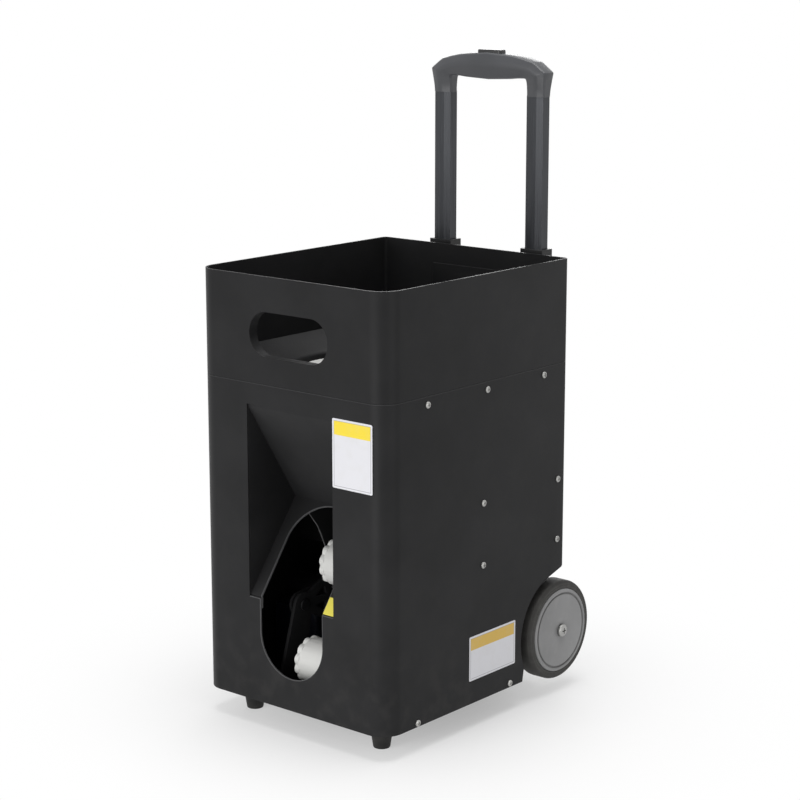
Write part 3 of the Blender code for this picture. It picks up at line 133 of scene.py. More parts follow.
def extruded(name, points, step):
    """Flat outline in space, filled and extruded by a step."""
    piece = trace(name, points)
    bpy.ops.mesh.edge_face_add()
    bpy.ops.mesh.extrude_region_move(TRANSFORM_OT_translate={"value": step})
    return close_up(piece)


def prism(name, axis, outline, low, high):
    """Outline in (y, z) or (x, z), extruded along X or Y."""
    if axis == "X":
        return extruded(name, [(low, u, v) for u, v in outline], (high - low, 0, 0))
    return extruded(name, [(u, low, v) for u, v in outline], (0, high - low, 0))


def arc(cx, cy, radius, start, end, steps):
    """Points of a round stretch from one angle to another, in degrees."""
    turns = [math.radians(start + (end - start) * i / steps) for i in range(steps + 1)]
    return [(cx + radius * math.cos(turn), cy + radius * math.sin(turn)) for turn in turns]


def carve(piece, *tools, operation="DIFFERENCE"):
    """Cut tools out of a piece, or join them on."""
    for tool in tools:
        modify(piece, "BOOLEAN", operation=operation, solver="EXACT", object=tool)
        bpy.data.objects.remove(tool, do_unlink=True)


def ease(piece, width, steps=2, angle=32):
    """Shade a piece smooth up to an angle and round the edges that are sharper."""
    hold(piece)
    bpy.ops.object.shade_smooth_by_angle(angle=math.radians(angle + 3))
    if width:
        modify(piece, "BEVEL", limit_method="ANGLE", angle_limit=math.radians(angle), width=width,
               segments=steps, harden_normals=True)


def folded_wall(name, low, high, front_r, rear_r, wall):
    """Open tube of sheet, round at its upright corners, with its wall inside the given box."""
    piece = slab(name, low, high)
    middle = (low[1] + high[1]) / 2
    pick(piece, "EDGE", lambda place, way: abs(way.z) > 0.9 and place.y < middle)
    bpy.ops.mesh.bevel(offset=front_r, segments=14)
    pick(piece, "EDGE", lambda place, way: abs(way.z) > 0.9 and place.y > high[1] - 0.0001)
    bpy.ops.mesh.bevel(offset=rear_r, segments=5)
    pick(piece, "FACE", lambda place, way: abs(way.z) > 0.9)
    bpy.ops.mesh.delete(type="FACE")
    modify(piece, "SOLIDIFY", thickness=wall, offset=-1)
    return piece


class Signal:
    """A shader socket that takes part in Python sums."""

    def __init__(self, paint, socket):
        self.paint = paint
        self.socket = socket

    def sum(self, kind, first, second):
        return self.paint.node("Math", {0: first, 1: second}, operation=kind)

    def __add__(self, other):
        return self.sum("ADD", self, other)

    def __radd__(self, other):
        return self.sum("ADD", other, self)

    def __sub__(self, other):
        return self.sum("SUBTRACT", self, other)

    def __rsub__(self, other):
        return self.sum("SUBTRACT", other, self)

    def __mul__(self, other):
        return self.sum("MULTIPLY", self, other)

    def __rmul__(self, other):
        return self.sum("MULTIPLY", other, self)

    def __abs__(self):
        return self.sum("ABSOLUTE", self, 0.0)


class Paint:
    """A material, or the world, built node by node."""

    def __init__(self, name, roughness=0.5, metallic=0.0, block=None):
        self.block = block or bpy.data.materials.new(name)
        self.block.use_nodes = True
        self.tree = self.block.node_tree
        self.shader = self.tree.nodes.get("Principled BSDF")
        if self.shader:
            self.set("Roughness", roughness)
            self.set("Metallic", metallic)

    def set(self, name, value):
        self.feed(self.shader.inputs[name], value)

    def feed(self, socket, value):
        if isinstance(value, Signal):
            self.tree.links.new(value.socket, socket)
        elif socket.type == "RGBA":
            socket.default_value = (*value, 1.0)
        else:
            socket.default_value = value

    def node(self, kind, inputs=None, output=0, **settings):
        made = self.tree.nodes.new("ShaderNode" + kind)
        for name, value in settings.items():
            setattr(made, name, value)
        for name, value in (inputs or {}).items():
            self.feed(made.inputs[name], value)
        return Signal(self, made.outputs[output])

    def place(self):
        return self.node("TexCoord", output="Object")

    def axes(self):
        place = self.place()
        return [self.node("SeparateXYZ", {0: place}, output) for output in "XYZ"]

    def noise(self, size, detail=3.0, stretch=(1, 1, 1)):
        scale = tuple(share / size for share in stretch)
        place = self.node("Mapping", {"Vector": self.place(), "Scale": scale})
        return self.node("TexNoise", {"Vector": place, "Scale": 1.0, "Detail": detail})

    def radius(self, centre, axis):
        """Distance from a line through a centre along X, Y or Z."""
        flat = [0.0 if axis == name else 1.0 for name in "XYZ"]
        shift = [-value * share for value, share in zip(centre, flat)]
        place = self.node("Mapping", {"Vector": self.place(), "Location": shift, "Scale": flat})
        return self.node("VectorMath", {0: place}, "Value", operation="LENGTH")

    def span(self, value, low, high, start=0.0, end=1.0):
        limits = {"Value": value, "From Min": low, "From Max": high, "To Min": start, "To Max": end}
        return self.node("MapRange", limits, interpolation_type="SMOOTHSTEP")

    def mix(self, share, first, second):
        return self.node("Mix", {0: share, 6: first, 7: second}, 2, data_type="RGBA")

    def bump(self, height, depth):
        self.set("Normal", self.node("Bump", {"Height": height, "Distance": depth, "Strength": 1.0}))


def surface(name, dark, light, roughness, grain, depth, dust=0.0, metallic=0.0, gloss=0.5,
            stretch=(1, 1, 1), wear_and_highlight=None):
    """Grained finish: cloudy tone, a fine surface, dust towards the ground and a painted highlight
    where a mask is given.
    """
    paint = Paint(name, roughness, metallic)
    paint.set("Specular IOR Level", gloss)
    cloud = paint.span(paint.noise(0.085, 4.0), 0.32, 0.68)
    speck = paint.noise(grain, 2.0, stretch)
    tone = paint.mix(cloud, dark, light)
    rough = paint.span(speck, 0.3, 0.7, roughness - 0.05, roughness + 0.06)
    if dust:
        near_ground = paint.span(paint.axes()[2], 0.030, 0.150, 1.0, 0.15)
        film = paint.span(paint.noise(0.018, 6.0), 0.42, 0.72) * near_ground * dust
        tone = paint.mix(film, tone, (0.16, 0.15, 0.14))
        rough = rough + film * 0.2
    if wear_and_highlight:
        # Painted highlight: the tone turns paler where the given mask lies.
        painted_highlight = wear_and_highlight(paint) * paint.span(speck, 0.25, 0.6, 0.65, 1.0)
        tone = paint.mix(painted_highlight, tone, (0.105, 0.105, 0.108))
    paint.set("Base Color", tone)
    paint.set("Roughness", rough)
    paint.bump(speck, depth)
    return paint.block


def settle(piece, finish, body, slot, *nodes):
    """Give a finished piece its material and body, and hide the nodes it stands for. The slot is not
    used.
    """
    piece.data.materials.clear()
    piece.data.materials.append(finish)
    piece.data.name = piece.name
    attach(piece, body)
    if nodes:
        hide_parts(*nodes)


def powder_coat(name, wear_and_highlight=None):
    """The sheet metal's coat, with a painted highlight where a mask is given."""
    return surface(name, (0.0155, 0.0155, 0.0161), (0.0195, 0.0195, 0.0203), 0.42, 0.0009, 0.00005,
                   dust=0.05, gloss=0.09, wear_and_highlight=wear_and_highlight)


case_low, case_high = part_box("housing_shell")
SHEET, SHEET_EASE = 0.002, 0.0005
GAP = 0.0003            # between pieces that touch
PAST = 0.01             # how far a cutter reaches past what it cuts
FRONT_R, REAR_R, RETURN_W = 0.025, 0.006, 0.016
OPEN_HALF, OPEN_LOW, OPEN_TOP = 0.0625, 0.150, 0.369
SLOT_R, SLOT_Z = 0.046, 0.112
WHEEL_IN, WHEEL_Z, NOTCH_R, NOTCH_TOP, NOTCH_RISE = 0.012, 0.0755, 0.070, 0.151, 0.012
front_y = case_low.y + GAP
rear_y, half_w = case_high.y, case_high.x
seam_z, base_z = case_high.z, case_low.z
wheel_y = rear_y - WHEEL_IN

shell = folded_wall("case_wrap", (-half_w, front_y, base_z), case_high, FRONT_R, REAR_R, SHEET)
mouth = [(OPEN_HALF, OPEN_TOP), (OPEN_HALF, OPEN_LOW), (SLOT_R, OPEN_LOW)]
mouth += arc(0, SLOT_Z, SLOT_R, 0, -180, 56)
mouth += [(-SLOT_R, OPEN_LOW), (-OPEN_HALF, OPEN_LOW), (-OPEN_HALF, OPEN_TOP)]
below, behind_case = base_z - 2 * PAST, rear_y + 2 * PAST
notch = [(wheel_y - NOTCH_R, below)] + arc(wheel_y, WHEEL_Z, NOTCH_R, 205, 105, 30)
notch += [(rear_y - REAR_R, NOTCH_TOP - SHEET / 2), (rear_y - SHEET, NOTCH_TOP + SHEET / 2),
          (behind_case, NOTCH_TOP + NOTCH_RISE), (behind_case, below)]
open_back = half_w - RETURN_W
back_cut = slab("cutter", (-open_back, rear_y - PAST, below),
                (open_back, rear_y + PAST, seam_z + PAST))
carve(shell, back_cut, prism("cutter", "Y", mouth, front_y - PAST, front_y + PAST),
      prism("cutter", "X", notch, -half_w - PAST, half_w + PAST))
ease(shell, SHEET_EASE)
EDGE, EDGE_FADE, SEAM_SHARE = 0.0004, 0.0009, 0.35


def painted_slot_highlight(paint):
    """Painted highlight on the cut edge of the slot and its ledges, and along the seam."""
    x, y, z = paint.axes()
    drop = paint.node("Math", {0: z - SLOT_Z, 1: 0.0}, operation="MINIMUM")
    across = paint.node("CombineXYZ", {0: x, 1: drop})
    off_rim = paint.node("VectorMath", {0: across}, "Value", operation="LENGTH") - SLOT_R
    rim = paint.span(abs(off_rim), EDGE, EDGE_FADE, 1.0, 0.0)
    rim = rim * paint.span(z, OPEN_LOW, OPEN_LOW + SHEET / 2, 1.0, 0.0)
    ledge = paint.span(abs(z - OPEN_LOW), EDGE, EDGE_FADE, 1.0, 0.0)
    ledge = ledge * paint.span(abs(x), OPEN_HALF - SHEET / 2, OPEN_HALF, 1.0, 0.0)
    front = paint.span(y, front_y + SHEET, front_y + 1.5 * SHEET, 1.0, 0.0)
    seam = paint.span(z, seam_z - SHEET / 2, seam_z - EDGE) * SEAM_SHARE
    cut = paint.node("Math", {0: rim, 1: ledge}, operation="MAXIMUM") * front
    return paint.node("Math", {0: cut, 1: seam}, operation="MAXIMUM")


# The shell's coat carries a painted highlight along the slot's cut edge, its ledges and the seam.
settle(shell, powder_coat("powder_coat_slot", painted_slot_highlight), "case", "case_black", "housing_shell")


# Launch recess
# Folded sheet behind the front wall: a long slope from the top, a short one from the bottom with an
# arched way out, and two cheeks. A flange round it is spot welded to the wall's back.
RIDGE_DEPTH, RIDGE_Z, DRAFT = 0.073, 0.251, 0.003
ARCH_RUN, ARCH_CUT, FLANGE = 0.075, 0.012, 0.012
SKIRT_H = 0.0216
ridge_y = front_y + RIDGE_DEPTH
back_y = front_y + SHEET + GAP


def wedge(name, grow, front):
    """Room between the two slopes, from a plane in front to the ridge, with drafted cheeks."""
    ridge = ridge_y + grow
    rise = grow * 0.6
    top = RIDGE_Z + (OPEN_TOP - RIDGE_Z) / RIDGE_DEPTH * (ridge - front) + rise
    low = RIDGE_Z - (RIDGE_Z - OPEN_LOW) / RIDGE_DEPTH * (ridge - front) - rise
    crease = 0.00001
    section = [(front, top), (ridge, RIDGE_Z + rise + crease), (ridge, RIDGE_Z - rise), (front, low)]
    half = OPEN_HALF + grow
    piece = prism(name, "X", section, -half, half)
    pick(piece, "FACE", lambda place, way: way.y > 0.99)
    bpy.ops.transform.resize(value=(1 - DRAFT / half, 1, 1), center_override=(0, ridge, RIDGE_Z))
    bpy.ops.object.mode_set(mode="OBJECT")
    return piece


slope = Vector((0, RIDGE_DEPTH, RIDGE_Z - OPEN_LOW)).normalized()
behind = Vector((0, slope.z, -slope.y))
arch = [(SLOT_R, -ARCH_RUN)] + arc(0, ARCH_RUN, SLOT_R, 0, 180, 56) + [(-SLOT_R, -ARCH_RUN)]
slope_foot = Vector((0, front_y, OPEN_LOW))
arch_foot = slope_foot - behind * ARCH_CUT
arch_cut = extruded("cutter", [arch_foot + Vector((u, 0, 0)) + slope * v for u, v in arch],
                    behind * 2 * ARCH_CUT)
recess = wedge("launch_recess_pan", SHEET, back_y)
lip_half = OPEN_HALF + FLANGE
lip_top = seam_z - SKIRT_H - GAP
lip = slab("lip", (-lip_half, back_y, OPEN_LOW - FLANGE), (lip_half, back_y + SHEET, lip_top))
carve(recess, lip, operation="UNION")
way_out = slab("cutter", (-SLOT_R, front_y - PAST, SLOT_Z - SLOT_R),
               (SLOT_R, back_y + SHEET + PAST, OPEN_LOW))
carve(recess, wedge("cutter", 0, front_y - PAST), arch_cut, way_out)
ease(recess, 0.0008, 3)


def painted_arch_highlight(paint):
    """Painted highlight on the cut edge of the arched way, measured in the plane of the lower slope."""
    place = paint.place()
    run = paint.node("VectorMath", {0: place, 1: tuple(slope)}, "Value", operation="DOT_PRODUCT")
    up = paint.node("Math", {0: run - (arch_foot.dot(slope) + ARCH_RUN), 1: 0.0}, operation="MAXIMUM")
    across = paint.node("CombineXYZ", {0: paint.axes()[0], 1: up})
    off_rim = paint.node("VectorMath", {0: across}, "Value", operation="LENGTH") - SLOT_R
    return paint.span(abs(off_rim), EDGE, EDGE_FADE, 1.0, 0.0)


# The recess's coat carries a painted highlight along the arched way's cut edge.
settle(recess, powder_coat("powder_coat_arch", painted_arch_highlight), "case", "case_black", "launch_recess")


# Hopper
# The open bin on top: the same folded and coated sheet, set on the case by a skirt that is screwed
# inside its top edge, with a rolled lip round the hand slot in front.
powder = powder_coat("matte_powder_coat")
RIM_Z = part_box("hopper")[1].z
HAND_HALF, HAND_R, HAND_Z, HAND_LIP, LIP_T = 0.057, 0.02475, 0.4487, 0.010, 0.0015
LEAST_R = 0.001         # smallest corner of a wall set inside another


def stadium(grow):
    """Outline of the hand slot, grown by a width."""
    radius = HAND_R + grow
    middle = HAND_HALF - HAND_R
    return arc(middle, HAND_Z, radius, -90, 90, 28) + arc(-middle, HAND_Z, radius, 90, 270, 28)


def bin_wall(name, inset, low, high, wall):
    """A stretch of wall whose outside lies inside the case's outline by an inset."""
    corner = (-half_w + inset, front_y + inset, low)
    return folded_wall(name, corner, (half_w - inset, rear_y - inset, high), FRONT_R - inset,
                       max(REAR_R - inset, LEAST_R), wall)


hopper = bin_wall("hopper_wrap", 0, seam_z + GAP, RIM_Z, SHEET)
skirt = bin_wall("skirt", SHEET + GAP, seam_z - SKIRT_H, seam_z + GAP + SHEET, SHEET)
shelf = bin_wall("shelf", SHEET * 0.6, seam_z + GAP * 1.5, seam_z + GAP + SHEET / 2, SHEET)
lip_end = front_y + SHEET + HAND_LIP
rolled = prism("rolled", "Y", stadium(LIP_T), front_y + SHEET / 2, lip_end)
carve(hopper, shelf, skirt, rolled, operation="UNION")
carve(hopper, prism("cutter", "Y", stadium(0), front_y - PAST, lip_end + PAST))
ease(hopper, SHEET_EASE)
settle(hopper, powder, "case", "case_black", "hopper")


# Funnel and drop guard
# One black moulding slopes down to the round well of the feed wheel, which has a drop hole at its
# back. A bent sheet on the rear wall guards that hole from above.
FLOOR_T, FEED_LIFT, FUNNEL_RIM, FUNNEL_FALL = 0.0025, 0.0015, 0.0222, 0.021
WELL_R, POCKET_R, PITCH_R = 0.108, 0.0365, 0.070
LEAD_RISE, LEAD_OUT, LEAD_SHARE, RIM_EASE = 0.004, 0.011, 0.86, 0.001
CENTRE_R = 0.008        # hole for the shaft in the well's floor
well_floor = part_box("feed_wheel")[0].z - FEED_LIFT
funnel_top = seam_z + FUNNEL_RIM
well_top = funnel_top - FUNNEL_FALL
feed_y = (case_low.y + rear_y) / 2
drop_y = feed_y + PITCH_R


def moulding(name, wear_and_highlight=None):
    """Black moulded plastic, with a painted highlight where a mask is given."""
    return surface(name, (0.0130, 0.0130, 0.0135), (0.0165, 0.0165, 0.0172), 0.42, 0.0016, 0.00003,
                   dust=0.06, gloss=0.25, wear_and_highlight=wear_and_highlight)


moulded = moulding("moulded_black")


def funnel_outline(inset, steps=8):
    """The case's outline, moved in, with even points along its straight sides."""
    x, front, rear = half_w - inset, front_y + inset, rear_y - inset
    big, small = FRONT_R - inset, max(REAR_R - inset, LEAST_R)
    corners = [arc(x - big, front + big, big, -90, 0, 6),
               arc(x - small, rear - small, small, 0, 90, 3),
               arc(small - x, rear - small, small, 90, 180, 3),
               arc(big - x, front + big, big, 180, 270, 6)]
    points = []
    for corner, after in zip(corners, corners[1:] + corners[:1]):
        points += corner
        (x0, y0), (x1, y1) = corner[-1], after[0]
        points += [(x0 + (x1 - x0) * i / steps, y0 + (y1 - y0) * i / steps) for i in range(1, steps)]
    return points


def next_ring(step, grow=1.0):
    """Pull the selected ring on by a step in height and a growth about the well's middle."""
    bpy.ops.mesh.extrude_region_move(TRANSFORM_OT_translate={"value": (0, 0, step)})
    bpy.ops.transform.resize(value=(grow, grow, 1), center_override=(0, feed_y, 0))


def turned(name, axis, centre, profile, steps=64):
    """Piece spun about an axis through a centre, from a profile of (radius, height) points."""
    along = "XYZ".index(axis)
    across = (along + 2) % 3
    points = []
    for radius, height in profile:
        point = Vector(centre)
        point[along] += height
        point[across] += radius
        points.append(point)
    piece = trace(name, points, closed=profile[0][0] > 0)
    line = Vector((0, 0, 0))
    line[along] = 1
    bpy.ops.mesh.spin(steps=steps, angle=2 * math.pi, center=centre, axis=line)
    return close_up(piece)


def rod(name, axis, centre, radius, low, high, steps=32):
    """Round bar along an axis, between two distances from its centre."""
    return turned(name, axis, centre, [(0, low), (radius, low), (radius, high), (0, high)], steps)


skirt_low = seam_z + 2 * GAP + SHEET
lead_z = well_top + LEAD_RISE
lead_r = WELL_R + LEAD_OUT
funnel = trace("funnel_moulding", [(x, y, skirt_low) for x, y in funnel_outline(SHEET + GAP)])
next_ring(funnel_top - skirt_low - RIM_EASE)
next_ring(RIM_EASE, 1 - RIM_EASE / half_w)
next_ring(lead_z - funnel_top, LEAD_SHARE)
bpy.ops.transform.tosphere(value=1.0, center_override=(0, feed_y, lead_z))
bpy.ops.object.mode_set(mode="OBJECT")
spans = [math.hypot(v.co.x, v.co.y - feed_y) for v in funnel.data.vertices
         if abs(v.co.z - lead_z) < 1e-4]
fit = lead_r / (sum(spans) / len(spans))
bpy.ops.object.mode_set(mode="EDIT")
bpy.ops.transform.resize(value=(fit, fit, 1), center_override=(0, feed_y, 0))
inward = [(lead_z, lead_r), (well_top + 0.0010, WELL_R + 0.0030), (well_top - 0.0010, WELL_R + 0.0010),
          (well_top - 0.0035, WELL_R), (well_floor + 0.0010, WELL_R),
          (well_floor + 0.0003, WELL_R - 0.0003), (well_floor, WELL_R - 0.0010), (well_floor, CENTRE_R)]
for (z0, r0), (z1, r1) in zip(inward, inward[1:]):
    next_ring(z1 - z0, r1 / r0)
close_up(funnel)
modify(funnel, "SOLIDIFY", thickness=FLOOR_T, offset=-1)
drop_hole = rod("cutter", "Z", (0, drop_y, 0), POCKET_R, well_floor - PAST, well_floor + 0.0005, 72)
carve(funnel, drop_hole)
ease(funnel, 0.0005, angle=40)
settle(funnel, moulded, "case", "plastic_black", "hopper_floor")


def worked(node, finish, body, slot, edge=0.0004, angle=32):
    """Copy of a solid, its loose triangles merged into flat faces and its edges eased."""
    piece = bpy.data.objects.new(node + "_finished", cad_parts[node].data.copy())
    bpy.context.scene.collection.objects.link(piece)
    hold(piece)
    bpy.ops.object.mode_set(mode="EDIT")
    bpy.ops.mesh.select_all(action="SELECT")
    bpy.ops.mesh.remove_doubles(threshold=1e-6)
    bpy.ops.mesh.dissolve_limited(angle_limit=math.radians(1))
    bpy.ops.object.mode_set(mode="OBJECT")
    ease(piece, edge, angle=angle)
    settle(piece, finish, body, slot, node)


worked("drop_guard", powder, "case", "case_black", 0.0006)


# Feed wheel
# A white nylon star of five pockets turns in the well, past the drop hole. A black dome covers its
# middle, and a gearmotor under the floor drives it.
nylon = surface("white_nylon", (0.62, 0.62, 0.60), (0.69, 0.69, 0.67), 0.46, 0.0012, 0.00002)
motor_can = surface("plated_motor_can", (0.070, 0.070, 0.076), (0.105, 0.105, 0.110), 0.34, 0.0006,
                    0.00001, metallic=1.0, stretch=(1, 1, 0.15))
steel = surface("plain_steel", (0.46, 0.46, 0.47), (0.56, 0.56, 0.57), 0.32, 0.0008, 0.00001,
                metallic=1.0, stretch=(0.1, 1, 1))
STAR_R, BORE_R, POCKETS = 0.1045, 0.0033, 5
GROOVE_OUT, GROOVE_IN, GROOVE_DEPTH = 0.0010, 0.0034, 0.0008    # ring cut round the star's hub
star_low, star_high = (corner.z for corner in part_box("feed_wheel"))
hub_r = PITCH_R - POCKET_R
profile = [(BORE_R, star_low), (STAR_R - 0.0010, star_low), (STAR_R, star_low + 0.0010),
           (STAR_R, star_high - 0.0015), (STAR_R - 0.0004, star_high - 0.0004),
           (STAR_R - 0.0015, star_high), (hub_r - GROOVE_OUT, star_high),
           (hub_r - GROOVE_OUT - 0.0006, star_high - GROOVE_DEPTH),
           (hub_r - GROOVE_IN + 0.0006, star_high - GROOVE_DEPTH),
           (hub_r - GROOVE_IN, star_high), (BORE_R, star_high)]
star = turned("feed_star", "Z", (0, feed_y, 0), profile, 160)
for i in range(POCKETS):
    turn = math.radians(90 + 360 / POCKETS * i)
    centre = (PITCH_R * math.cos(turn), feed_y + PITCH_R * math.sin(turn), 0)
    carve(star, rod("cutter", "Z", centre, POCKET_R, star_low - PAST, star_high + PAST, 72))
ease(star, 0.0008)
settle(star, nylon, "feed", "wheel_white", "feed_wheel")

cap_low, cap_high = (corner.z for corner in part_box("feed_cap"))
cap_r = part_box("feed_cap")[1].x
CAP_FOOT, CAP_STEPS = 0.001, 18
cap_rise = cap_high - cap_low - CAP_FOOT
dome = [(cap_r * math.cos(turn), cap_low + CAP_FOOT + cap_rise * math.sin(turn))
        for turn in (math.radians(90 * i / CAP_STEPS) for i in range(CAP_STEPS))]
dome = [(0, cap_low), (cap_r - 0.0004, cap_low)] + dome + [(0, cap_high)]
cap = turned("feed_dome", "Z", (0, feed_y, 0), dome)
ease(cap, 0)
settle(cap, moulded, "feed", "plastic_black", "feed_cap")
worked("feed_shaft", steel, "feed", "steel", 0.0003)
worked("feed_gearmotor", motor_can, "case", "motor", 0.0006)


# Chute
# A black moulding under the drop hole: two side plates and a curved floor that lead forward between
# the launch wheels, on two legs screwed to the tray.


def painted_front_highlight(paint):
    """Faces towards the front, made paler as a painted highlight."""
    ahead = paint.node("SeparateXYZ", {0: paint.node("TexCoord", output="Normal")}, "Y")
    return paint.span(ahead, -0.6, -0.3, 1.0, 0.0)


# The chute's faces towards the front carry a painted highlight.
worked("ball_chute", moulding("moulded_chute", painted_front_highlight), "case", "plastic_black", 0.0005)


# Launcher
# A coated steel cradle with a sector gear on its left plate hangs on two pivot pins between the arms
# of a cross frame. Its two motors spin the white nylon launch wheels, lobed on their left side.
blackened = surface("blackened_steel", (0.020, 0.020, 0.022), (0.030, 0.030, 0.032), 0.40, 0.0008,
                    0.00001, metallic=0.6, gloss=0.3)
LAUNCH_R, LOBE_DEPTH, LOBES, LOBE_W, LOBE_STEPS = 0.0265, 0.0024, 12, 0.006, 14
DRUM_DROP, DRUM_END, OVERLAP = 0.0008, 0.026, 0.001
LAUNCH_HALF, BOSS_R, BOSS_END, SHAFT_R = 0.012, 0.009, 0.038, 0.0028
DISH_RIM, DISH_DRAFT, DISH_DEPTH = 0.0062, 0.0008, 0.003
for node, finish, body, slot in (("launcher_frame", powder, "case", "case_black"),
                                 ("launch_cradle", powder, "launcher", "case_black"),
                                 ("pivot_pin_left", blackened, "case", "steel"),
                                 ("pivot_pin_right", blackened, "case", "steel"),
                                 ("wheel_motor_upper", motor_can, "launcher", "motor"),
                                 ("wheel_motor_lower", motor_can, "launcher", "motor"),
                                 ("wheel_shaft_upper", steel, "upper_wheel", "steel"),
                                 ("wheel_shaft_lower", steel, "lower_wheel", "steel"),
                                 ("elevation_gearmotor", motor_can, "case", "motor")):
    worked(node, finish, body, slot, 0.0003 if "shaft" in node else 0.0005)
worked("elevation_pinion", steel, "pinion", "steel", 0.0001)


def again(piece, name, move=(0, 0, 0), mirror=False):
    """Copy of a piece with its own mesh, moved or mirrored to the other side."""
    hold(piece)
    bpy.ops.object.duplicate()
    made = bpy.context.object
    made.name = name
    made.location = move
    if mirror:
        made.scale.x = -1
    seat(made)
    if mirror:
        bpy.ops.object.mode_set(mode="EDIT")
        close_up(made)
    return made


def wheel_centre(node):
    """Middle of a launch wheel, read from its shaft's box."""
    low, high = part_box(node)
    return Vector((0, (low.y + high.y) / 2, (low.z + high.z) / 2))


upper = wheel_centre("wheel_shaft_upper")
lower = wheel_centre("wheel_shaft_lower")
lobed = []
for i in range(LOBES * LOBE_STEPS):
    turn = 2 * math.pi * i / (LOBES * LOBE_STEPS)
    radius = LAUNCH_R - LOBE_DEPTH + LOBE_DEPTH * abs(math.sin(LOBES * turn / 2))
    lobed.append((upper.y + radius * math.cos(turn), upper.z + radius * math.sin(turn)))
thrower = prism("launch_wheel_top", "X", lobed, -LAUNCH_HALF, LOBE_W - LAUNCH_HALF)
drum = rod("drum", "X", upper, LAUNCH_R - DRUM_DROP, LOBE_W - LAUNCH_HALF - OVERLAP, DRUM_END, 96)
carve(thrower, drum, rod("boss", "X", upper, BOSS_R, 0, BOSS_END), operation="UNION")
dish_end = DISH_DEPTH - LAUNCH_HALF
dish = [(BOSS_R, -LAUNCH_HALF - PAST), (LAUNCH_R - DISH_RIM, -LAUNCH_HALF - PAST),
        (LAUNCH_R - DISH_RIM - DISH_DRAFT, dish_end), (BOSS_R, dish_end)]
carve(thrower, rod("cutter", "X", upper, SHAFT_R, dish_end, BOSS_END + PAST),
      turned("cutter", "X", upper, dish))
ease(thrower, 0.0004)
second = again(thrower, "launch_wheel_bottom", lower - upper)
settle(thrower, nylon, "upper_wheel", "wheel_white", "launch_wheel_upper")
settle(second, nylon, "lower_wheel", "wheel_white", "launch_wheel_lower")


# Tray, wheel wells and rear panel
# The coated tray closes the case's underside, two black mouldings box in the transport wheels, and a
# coated pan with vent slots closes the back and carries the controls.
worked("base_tray", powder, "case", "case_black")
worked("rear_panel", powder, "case", "case_black", 0.0003)
for name in ("wheel_well_left", "wheel_well_right"):
    worked(name, moulded, "case", "plastic_black")


# Controls
# Three black fluted knobs, each with a white pointer, turn the controls on a board behind the rear
# panel. With them sit a rocker switch in its bezel and the charging socket with its round rim.
switch_black = surface("switch_black", (0.0115, 0.0115, 0.0120), (0.0150, 0.0150, 0.0155), 0.30,
                       0.0009, 0.00001)
board_green = surface("board_green", (0.020, 0.110, 0.055), (0.032, 0.165, 0.080), 0.40, 0.0020,
                      0.00002)
pointer_white = surface("pointer_white", (0.62, 0.62, 0.60), (0.68, 0.68, 0.66), 0.45, 0.0010,
                        0.00001)
KNOB_R, KNOB_OUT, STEM_R, CROWN_SHARE = 0.009, 0.014, 0.0028, 0.90
FLUTES, FLUTE_STEPS, FLUTE_IN, FLUTE_DEPTH = 20, 6, 0.0018, 0.0005
DISC_H, DISC_EASE = 0.0022, 0.0006      # round disc at a knob's foot
POINTER_HALF, POINTER_T, POINTER_LOW, POINTER_HIGH = 0.0007, 0.0010, 0.0012, 0.0062
knob_low, knob_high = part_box("feed_knob")
knob_z = (knob_low.z + knob_high.z) / 2
face_y = knob_high.y - KNOB_OUT
fluted = []
for i in range(FLUTES * FLUTE_STEPS):
    turn = 2 * math.pi * i / (FLUTES * FLUTE_STEPS)
    radius = KNOB_R - FLUTE_IN + FLUTE_DEPTH * abs(math.cos(FLUTES * turn / 2))
    fluted.append((radius * math.cos(turn), knob_z + radius * math.sin(turn)))
knob = prism("knob_feed", "Y", fluted, face_y + DISC_H - 0.0004, knob_high.y - POINTER_T / 2)
pick(knob, "FACE", lambda place, way: way.y > 0.9)
bpy.ops.transform.resize(value=(CROWN_SHARE, 1, CROWN_SHARE), center_override=(0, face_y, knob_z))
bpy.ops.mesh.bevel(offset=0.0008, segments=3)
bpy.ops.object.mode_set(mode="OBJECT")
disc = [(0, knob_low.y), (STEM_R, knob_low.y), (STEM_R, face_y), (KNOB_R, face_y),
        (KNOB_R, face_y + DISC_H - DISC_EASE), (KNOB_R - DISC_EASE, face_y + DISC_H),
        (0, face_y + DISC_H)]
carve(knob, turned("disc", "Y", (0, 0, knob_z), disc), operation="UNION")
ease(knob, 0.0001, 1)
pointer = slab("pointer_feed", (-POINTER_HALF, knob_high.y - POINTER_T, knob_z + POINTER_LOW),
               (POINTER_HALF, knob_high.y, knob_z + POINTER_HIGH))
ease(pointer, 0.0002)
for name, body, node in (("speed", "speed_control", "speed_knob"),
                         ("angle", "angle_control", "angle_knob")):
    low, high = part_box(node)
    move = ((low.x + high.x) / 2, 0, 0)
    settle(again(knob, "knob_" + name, move), switch_black, body, "switch", node)
    settle(again(pointer, "pointer_" + name, move), pointer_white, body, "switch")
settle(knob, switch_black, "feed_control", "switch", "feed_knob")
settle(pointer, pointer_white, "feed_control", "switch")
worked("control_board", board_green, "case", "board", 0.0003)
worked("power_switch", switch_black, "case", "switch", 0.0006)
worked("power_rocker", switch_black, "rocker", "switch", 0.0005, 25)
worked("charge_socket", switch_black, "case", "switch", 0.0005)


# Battery
# A blue-black wrapped pack stands on the tray in front of the left wheel well, held down by a strap
# of bent steel.
battery_wrap = surface("battery_wrap", (0.010, 0.013, 0.022), (0.014, 0.018, 0.030), 0.38, 0.0015,
                       0.00002)
worked("battery", battery_wrap, "case", "battery", 0.0012)
worked("battery_strap", steel, "case", "steel")


